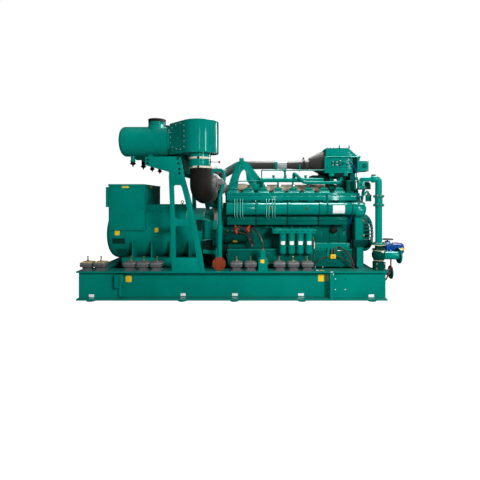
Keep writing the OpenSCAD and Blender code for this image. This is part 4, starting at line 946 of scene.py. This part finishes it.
# Drain cocks with a yellow block, fittings and a cross bar on the near side of the base
piece("drain_block", yellow, block(1553, -672, 590, 1636, -630, 658, 4, 8, "y"))
cock = [(0, 8), (14, 8), (16, 13), (38, 13), (40, 8), (62, 8), (64, 11), (84, 11), (90, 5)]
piece("drain_cocks", brass, *[lathe((x, -655, 658), UP, cock, 14) for x in (1572, 1616)],
    block(1562, -668, 724, 1584, -642, 730, 2),
    lathe((1594, -673, 624), NEAR, [(0, 12), (8, 12), (9, 6), (14, 6)], 14))
piece("drain_nuts", zinc, *[boss(c, a, 13, 16, 9, 30, 6) for c, a in (((1553, -652, 622), BACK),
            ((1636, -652, 622), AHEAD), ((1616, -655, 746), (0.6, 0, 0.8)), ((1640, -662, 768), AHEAD))])
piece("cross_bar", bright, block(1314, -650, 757, 1730, -636, 772, 3),
    boss((1516, -646, 690), UP, 18, 60, 14, 76, 20))
# Drain hose, two thin leads and the conduit to the pedestal
piece("hoses", hose,
    pipe([(1666, -662, 770), (1700, -690, 778), (1780, -740, 720), (1850, -785, 610), (1878, -800, 520),
        (1885, -805, 458)], 12, 90, 14),
    pipe([(1526, -650, 622), (1460, -680, 610), (1380, -690, 580), (1320, -690, 548), (1300, -690, 470)],
        9, 60, 12),
    pipe([(1664, -652, 622), (1720, -700, 612), (1800, -740, 570), (1850, -790, 520), (1860, -820, 458)],
        9, 60, 12),
    pipe([(300, -400, 1065), (320, -500, 1062), (370, -680, 1030), (430, -840, 950),
        (pedestal_x, pedestal_y, 870), (pedestal_x, pedestal_y, 780)], 13, 60, 14),
    replaces=("black_hoses",), slot="black_hose")
# A white tag, and two small white blocks at the rail flange's edge that are painted highlights
piece("small_tag_and_painted_highlights", white, block(1668, -650, 713, 1744, -646, 722, 1),
    block(1480, -1032, 444, 1512, -1026, 456, 1), block(1512, -1000, 398, 1534, -960, 424, 2))
# A thin dark red line on the drain hose's outer side: a painted highlight for its red-brown sheen
piece("hose_highlight_line", dark_red, pipe([(1690, -690, 770), (1720, -712, 768), (1792, -752, 714),
            (1862, -797, 606), (1890, -812, 520), (1897, -817, 458)], 4, 90, 8))
piece("gas_vent_hose", dark_red, pipe([(2447, -850, 618), (2447, -850, 500), (2425, -850, 410),
            (2375, -860, 310), (2315, -885, 258), (2290, -926, 250)], 12, 60, 14), replaces=("red_hose",),
    slot="red_hose")
high_loom = [(1935, -370, 2153), (1955, -410, 2135), (2012, -448, 2040), (2026, -458, 1960),
    (2024, -462, 1860), (2032, -520, 1650), (2045, -600, 1530), (2045, -620, 1482)]
low_loom = [(1900, -620, 1290), (1898, -625, 1240), (1875, -600, 1150), (1830, -480, 1030), (1808, -405, 992)]
piece("looms", blue, pipe(high_loom, 7, 80, 12), pipe(low_loom, 7, 80, 12),
    pipe([(2038, -626, 1500), (2010, -690, 1540), (1990, -662, 1580), (2030, -640, 1600)], 6, 40, 10),
    replaces=("blue_harness",), slot="blue_paint")
piece("loom_ends", steel, *[boss(c, a, 14, 22, 10, 34, 14) for c, a in (((2045, -622, 1474), UP),
            ((2012, -690, 1536), (0.3, -0.4, -0.5)), ((1946, -372, 2146), (-0.5, 0, 1)))])

# Coolant and vent pipes with their clamps
arch = [(-200, -830, 1150), (-202, -822, 1545), (-172, -795, 1695), (-134, -780, 1870), (-134, -780, 1997),
    (-321, -776, 1997), (-330, -776, 1880)]
transfer = [(1003, -330, 1900), (1003, -330, 1950), (1003, -410, 1968), (1050, -410, 1930),
    (1150, -410, 1825), (1240, -410, 1812), (1740, -410, 1818), (1800, -345, 1850), (1800, -330, 1930)]
vent = [(460, -330, 1900), (460, -330, 2023), (460, -400, 2023), (1515, -400, 2023), (1515, -400, 2243),
    (2110, -400, 2243), (2110, -310, 2243), (2110, -310, 2183)]
piece("coolant_lines", bright, pipe(arch, 28, 90, 24, bends=9), pipe(transfer, 28, 70, 24, bends=9),
    band((1255, -410, 1812.2), AHEAD, 27, 33, 34, 28), band((1620, -410, 1816.5), AHEAD, 27, 33, 34, 28),
    replaces=("coolant_pipes",))
piece("vent_line", bright, pipe(vent, 10, 40, 14, bends=7), replaces=("vent_pipe",))
piece("thin_tubes", bright,
    pipe([(-168, -300, 1740), (25, -300, 1843), (466, -300, 1850), (545, -300, 1672)], 9, 60, 12),
    pipe([(-176, -252, 2022), (70, -244, 2160)], 10, n=12))
piece("lagging_lump", lagging, lathe((22, -110, 1752), AHEAD,
        [(0, 24), (8, 44), (36, 57), (100, 61), (160, 57), (188, 42), (196, 22)], 32))
piece("rail_tee", teal,
    lathe((853, -330, 1896), UP, [(0, 26), (16, 26), (18, 18), (128, 18), (130, 26), (150, 26)], 24),
    lathe((853, -330, 2040), FAR, [(-26, 24), (180, 24)], 24))
piece("water_rail_posts", teal, *[boss((x, -330, 1898), UP, 20, 30, 26, 44, 18) for x in (660, 860, 1200)],
    lathe((440, -330, 1862), BACK, [(0, 44), (12, 44), (16, 30), (20, 20)], 24))

# Charge air: pipe, bands, cooler and throttle
piece("charge_tube", hose, pipe([(-255, -560, 1935), (-170, -190, 1985), (70, -100, 2134), (735, -100, 2136)],
        72, 140, 48, bends=12),
    lathe((901, -100, 2137), AHEAD, [(0, 64), (6, 70), (20, 70), (24, 67), (384, 93)], 48),
    replaces=("charge_pipe",), slot="black_hose")
piece("charge_tube_bands", silver, lathe((733, -100, 2137), AHEAD,
        [(0, 76), (6, 84), (44, 86), (84, 83), (124, 86), (162, 84), (168, 72)], 56))
piece("charge_tube_clamps", bright, band((690, -100, 2136), AHEAD, 74, 82, 42, 48),
    block(700, -194, 2040, 726, -160, 2086, 3), block(1108, -192, 2020, 1126, -160, 2140, 3))
piece("charge_tube_straps", plastic,
    hollow((1176, -100, 2150), AHEAD, [(0, 82), (0, 92), (34, 94), (34, 84)], 48),
    block(1180, -130, 2240, 1206, -96, 2268, 3, 6),
    hollow((1290, -100, 2165), AHEAD, [(0, 92), (0, 98), (26, 108), (26, 100)], 48))
piece("cooler_lid_studs", shade, *[boss((x, -340, 2396), UP, 16, 10, 9, 52, 14) for x in (1768, 1932)])
lid_bolts = grid(row(1566, 1896, 7), (-330, 250), 2400)
piece("cooler_body", teal, block(1518, -370, 1976, 1985, 290, 2236, 4, 14),
    block(1516, -386, 2234, 2116, 306, 2262, 4, 12),
    slab([(1536, 2260), (1544, 2400), (1918, 2400), (2078, 2260)], -350, 270, "y", 4),
    block(1514, -386, 2069, 1918, 306, 2083, 4, 12), block(1514, -386, 1976, 1970, 306, 2002, 4, 12),
    *[block(x0, y0, 1926, x1, y0 + 90, 1978, 4, 10) for y0 in (-380, 210)
        for x0, x1 in ((1588, 1680), (1832, 1906))],
    block(2056, -372, 1990, 2104, 292, 2236, 4, 10), replaces=("charge_cooler",))
piece("cooler_legs", shade, block(1630, -234, 1641, 1700, -160, 1980, 4),
    block(1630, 160, 1641, 1700, 234, 1980, 4), block(1962, -298, 1291, 2050, -120, 1980, 5),
    block(1740, -330, 1745, 1812, -250, 1980, 4),
    lathe((1985, -110, 2110), AHEAD, [(0, 118), (20, 118), (24, 96), (71, 96)], 40))
# Near-black blocks in the gaps round the cooler: painted shade
piece("cooler_gap", painted_recess_shade, block(1688, -366, 1905, 1830, 200, 1976, 3),
    block(1985, -330, 1990, 2058, 270, 2232, 3), block(1330, -200, 1870, 1640, 180, 1952, 3))
piece("cooler_bolts", bright, bolts(UP, lid_bolts, 9, 8),
    *[bolts(NEAR, grid(row(1550, 1950, 8), -370, z), 8, 7) for z in (2216, 2018)])
piece("cooler_face_parts", shade, block(1752, -390, 2092, 1796, -370, 2196, 4, 8, "y"),
    block(1630, -384, 2096, 1742, -370, 2180, 3, 8, "y"), boss((1830, -370, 2140), NEAR, 26, 10, 16, 22, 20),
    boss((1888, -370, 2120), NEAR, 18, 12, 11, 24, 20), boss((1998, -100, 2352), UP, 18, 22, 12, 40, 16))
piece("cooler_face_bolts", silver, bolts(NEAR,
        [(1650, -384, 2164), (1722, -384, 2164), (1650, -384, 2112), (1722, -384, 2112), (1774, -390, 2180)],
        8, 7), boss((1908, -376, 2205), NEAR, 14, 14, 8, 26, 14))
piece("throttle_parts", shade, block(2072, -362, 2040, 2110, -348, 2160, 3, 6, "y"),
    boss((2190, -352, 2100), NEAR, 40, 8, 28, 14, 28), block(2240, -300, 2150, 2264, -200, 2186, 4, 8))
piece("throttle_bolts", zinc, bolts(NEAR, grid((2082, 2236), -352, (2030, 2168)), 9, 9))
# The upright gas line stands at gas_x, gas_y
gas_x, gas_y = 2259, -850
piece("gas_line", bright,
    pipe([(gas_x, gas_y, 858), (gas_x, gas_y, 1852), (2150, gas_y, 1852)], 52, 92, 48, bends=12),
    pipe([(2160, gas_y, 1850), (1996, gas_y, 1850), (1996, -790, 1800)], 36, 60, 36, bends=10),
    lathe((2138, gas_y, 1851), AHEAD, [(0, 36), (4, 44), (20, 54), (26, 57), (40, 57), (44, 52)], 40),
    *[lathe((gas_x, gas_y, z - 14), UP, [(0, 78), (2, 82), (12, 82), (14, 78)], 48)
        for z in (1450, 1464, 1585, 1599)], rod((gas_x, gas_y, 1464), UP, 57, 107, 40),
    lathe((gas_x, gas_y, 845), UP, [(0, 108), (3, 112), (22, 112), (25, 108)], 48),
    block(1946, -846, 1700, 2044, -700, 1834, 8, 14), block(1936, -856, 1822, 2056, -690, 1838, 4, 14),
    replaces=("gas_pipe",))
piece("mixer_tags", white, block(1912, -812, 1820, 1944, -806, 1834, 1),
    block(1922, -812, 1706, 1934, -806, 1800, 1))
piece("mixer_parts", shade, block(1896, -806, 1690, 1946, -640, 1838, 4, 8),
    block(1940, -852, 1690, 2050, -700, 1704, 4, 10), rod((1995, gas_y - 4, 1766), NEAR, 18, 5, 16),
    lathe((1880, -600, 1648), UP, [(0, 60), (190, 60), (196, 40)], 28),
    pipe([(2044, -760, 1760), (2080, -720, 1720), (2080, -640, 1660), (2060, -620, 1500)], 22, 40, 16))
piece("mixer_bolts", zinc, bolts(NEAR, grid((1960, 2030), -846, (1716, 1812)), 8, 8))
piece("gas_clip", plastic, block(2150, -876, 1904, 2206, -826, 1922, 3, 6))
piece("breather_elbow", shade, pipe(
        [(2120, -560, 1700), (2120, -560, 1800), (2190, -560, 1800), (2190, -560, 1700)], 36, 60, 28,
        bends=9))
piece("breather_bottle", bright,
    lathe((2165, -640, 1505), UP, [(0, 38), (6, 46), (96, 46), (102, 40), (108, 24), (130, 24)], 32))
piece("breather_link", bright, pipe(
        [(2030, -640, 1572), (2092, -640, 1612), (2146, -640, 1676), (2165, -640, 1640), (2165, -640, 1610)],
        16, 30, 16))
piece("breather_clamp", zinc, band((2165, -640, 1600), UP, 45, 49, 12, 32))

# Lifting bracket with its cap
bracket = [(80, 2230), (152, 2230), (156, 2196), (184, 2194), (251, 2142), (327, 2042), (415, 1928),
    (485, 1804), (571, 1641), (365, 1641), (274, 1770), (203, 1858), (188, 2007), (162, 2055), (118, 2018),
    (86, 1951), (64, 1866), (32, 1641), (-120, 1641), (-98, 1794), (-79, 1872), (-33, 1990), (14, 2122),
    (56, 2180), (76, 2190)]
piece("bracket_plate", bright, slab(bracket, -228, -180, "y", 3),
    block(78, -240, 2140, 154, -168, 2244, 5, 8), bolts(UP, [(98, -204, 2244), (134, -204, 2244)], 9, 8),
    replaces=("lifting_bracket",))
piece("bracket_bolts", shade, bolts(NEAR,
        [(x, -228, z) for x, z in ((-80, 1690), (-20, 1690), (430, 1690), (500, 1690), (118, 2090))], 11, 10))

# Gas train: flanges with bolts, gasket, valve, actuator and handwheel
coupling_bolts = [bolts((0, 0, d), ring_places((gas_x, gas_y, z + 14 * d), UP, 69, 8, 0.2), 8, 8)
    for z in (1450, 1585) for d in (-1, 1)]
piece("gas_coupling_bolts", zinc, *coupling_bolts,
    bolts(UP, ring_places((gas_x, gas_y, 870), UP, 84, 8, 0.2), 9, 9))
piece("gas_gasket", gasket, rod((gas_x, gas_y, 832), UP, 106, 12, 48))
piece("gas_fitting", white, boss((2300, -945, 735), (-0.9, -0.3, 0.2), 13, 18, 8, 34, 12))
piece("valve_bolts", zinc, bolts(UP, ring_places((gas_x, gas_y, 775), UP, 80, 8, 0.2), 9, 9),
    bolts(NEAR, grid((2200, 2318), -945, (480, 552)), 10, 9))
piece("outlet_sleeve", bright, lathe((2262, -862, 674), AHEAD,
        [(0, 30), (4, 48), (14, 60), (24, 63), (292, 63), (294, 72), (300, 72)], 40),
    hollow((2562, gas_y, 670), AHEAD, [(0, 104), (0, 122), (4, 124), (18, 124), (21, 121), (21, 104)], 56))
piece("valve_gaskets", gasket, rod((gas_x, gas_y, 748), UP, 101, 9, 48),
    rod((gas_x, gas_y, 596), UP, 88, 8, 48))
piece("outlet_bolts", zinc, bolts(BACK, ring_places((2583, gas_y, 670), BACK, 92, 8, 0.2), 9, 9))
motor_y, motor_z = -672, 757
motor = [(0, 66), (3, 78), (20, 80), (24, 88), (30, 90), (134, 90), (138, 84), (142, 84), (146, 90),
    (180, 90), (190, 84), (196, 70)]
piece("actuator_body", blue, lathe((2504, motor_y, motor_z), AHEAD, motor, 48),
    repeat(cushion([(52, 76, 26, 0), (58, 82, 28, 8), (58, 82, 28, 128), (52, 76, 26, 144), (34, 52, 20, 160),
                (32, 44, 16, 176)]), [(2455, -680, 698)]),
    block(2500, -742, 700, 2522, -610, 830, 4, 14, "x"), block(2408, -768, 722, 2490, -760, 836, 3, 12, "y"),
    *[band((x, motor_y, motor_z), AHEAD, 88, 94, 4, 40) for x in row(2545, 2625, 6)],
    replaces=("actuator",), slot="blue_paint")
piece("actuator_plate", yellow, curved_plate((0, motor_y, motor_z), AHEAD, 2636, 2682, 90, 168, 194))
piece("actuator_bolts", steel, bolts(NEAR, grid((2418, 2480), -768, (734, 824)), 6, 6),
    bolts(AHEAD, ring_places((2700, motor_y, motor_z), AHEAD, 58, 6), 6, 2, False))

# Pipe with the blank red-brown disc
disc_x, disc_z, hole_turn = -200, 559, pi / 4
piece("disc_bolts", zinc, bolts(NEAR, ring_places((disc_x, -950, disc_z), NEAR, 40, 3), 6, 4, False))
pipe_path = [(disc_x, -830, 1150), (disc_x, -830, 590), (disc_x, -850, 562), (disc_x, -926, disc_z)]
piece("blank_pipe", bright, pipe(pipe_path, 38, 60, 28), band((disc_x, -830, 1020), UP, 37, 46, 26, 32),
    replaces=("blank_flange_pipe",))
piece("blank_disc", oxide, lathe((disc_x, -926, disc_z), NEAR, [(0, 99), (3, 101), (21, 101), (24, 99)], 64))
# Black discs where the disc's four holes are: painted shade inside the holes
piece("blank_disc_hole_shade", plastic,
    *[rod(c, NEAR, 9, 1, 14) for c in ring_places((disc_x, -949.6, disc_z), NEAR, 78, 4, hole_turn)])


# The stage: a white room, a soft light to the front right, weak ones round it, and strips for highlights.
def level(value):
    """A grey of the given brightness."""
    return (value, value, value, 1)


world = bpy.data.worlds.new("white room")
bpy.context.scene.world = world
world.use_nodes = True
sky = world.node_tree
backdrop = sky.nodes["Background"]
kind = add(sky, "LightPath")
ambient, mirrored = 0.15, 0.01
seen = mixed(sky, kind.outputs["Is Glossy Ray"], level(ambient), level(mirrored))
seen = mixed(sky, kind.outputs["Is Camera Ray"], seen, level(1))
sky.links.new(seen, backdrop.inputs["Color"])
backdrop.inputs["Strength"].default_value = 1.0


def lamp(name, place, target, size, power, tall, diffuse=True, glossy=True):
    """A rectangular area light that looks from its place at a target, in metres."""
    data = bpy.data.lights.new(name, "AREA")
    data.energy = power
    data.shape = "RECTANGLE"
    data.size = size
    data.size_y = tall
    obj = bpy.data.objects.new(name, data)
    obj.location = place
    obj.rotation_euler = (Vector(target) - Vector(place)).to_track_quat("-Z", "Y").to_euler()
    obj.visible_diffuse = diffuse
    obj.visible_glossy = glossy
    bpy.context.scene.collection.objects.link(obj)


lamp("key", (3.2, -7.4, 3.2), (0.2, -0.5, 1.0), 2.0, 600, 1.4, glossy=False)
lamp("fill", (-6.0, -6.5, 2.0), (-0.5, 0.0, 1.2), 3.0, 36, 2.0, glossy=False)
lamp("top", (0.0, -0.8, 6.5), (0.0, -0.2, 0.0), 6.0, 150, 2.4, glossy=False)
lamp("back", (2.0, 6.0, 5.0), (0.0, 0.0, 1.5), 4.0, 40, 4.0, glossy=False)
lamp("front strip", (0.1, -7.6, 3.0), (-0.4, -1.2, 2.4), 0.12, 14, 3.0, diffuse=False)
lamp("right strip", (4.4, -6.4, 3.0), (-0.4, -1.2, 2.4), 0.3, 60, 3.4, diffuse=False)
lamp("rim strip", (5.6, 4.0, 3.4), (-0.4, -1.0, 2.2), 1.2, 120, 3.4, diffuse=False)
lamp("ceiling", (2.4, 0.6, 6.4), (2.4, 0.6, 0.0), 4.6, 900, 3.4, diffuse=False)
lamp("overhead strip", (1.4, 3.8, 5.6), (0.4, -0.6, 1.5), 6.0, 150, 0.5, diffuse=False)

floor_mesh = bpy.data.meshes.new("floor")
floor_mesh.from_pydata([(-60, -60, 0), (60, -60, 0), (60, 60, 0), (-60, 60, 0)], [], [(0, 1, 2, 3)])
floor = bpy.data.objects.new("floor", floor_mesh)
bpy.context.scene.collection.objects.link(floor)
paper = bpy.data.materials.new("white floor")
paper.use_nodes = True
paper_tree = paper.node_tree
paper_shader = paper_tree.nodes["Principled BSDF"]
paper_shader.inputs["Roughness"].default_value = 1.0
paper_shader.inputs["Specular IOR Level"].default_value = 0.0
ray = add(paper_tree, "LightPath")
floor_tone, floor_mirrored = 0.4, 0.02
tone = mixed(paper_tree, ray.outputs["Is Glossy Ray"], level(floor_tone), level(floor_mirrored))
paper_tree.links.new(tone, paper_shader.inputs["Base Color"])
paper_tree.links.new(ray.outputs["Is Camera Ray"], paper_shader.inputs["Emission Color"])
paper_shader.inputs["Emission Strength"].default_value = 1.0
floor_mesh.materials.append(paper)

camera_data = bpy.data.cameras.new("camera")
camera_data.sensor_width = 36.0
camera_data.lens = 27.75
camera_data.shift_x = -0.03125
camera_data.shift_y = -0.0854
camera = bpy.data.objects.new("camera", camera_data)
camera.location = (0.158, -6.4125, 1.543)
camera.rotation_euler = (pi / 2, 0, 0)
bpy.context.scene.collection.objects.link(camera)
bpy.context.scene.camera = camera
bpy.context.scene.view_settings.view_transform = "Standard"
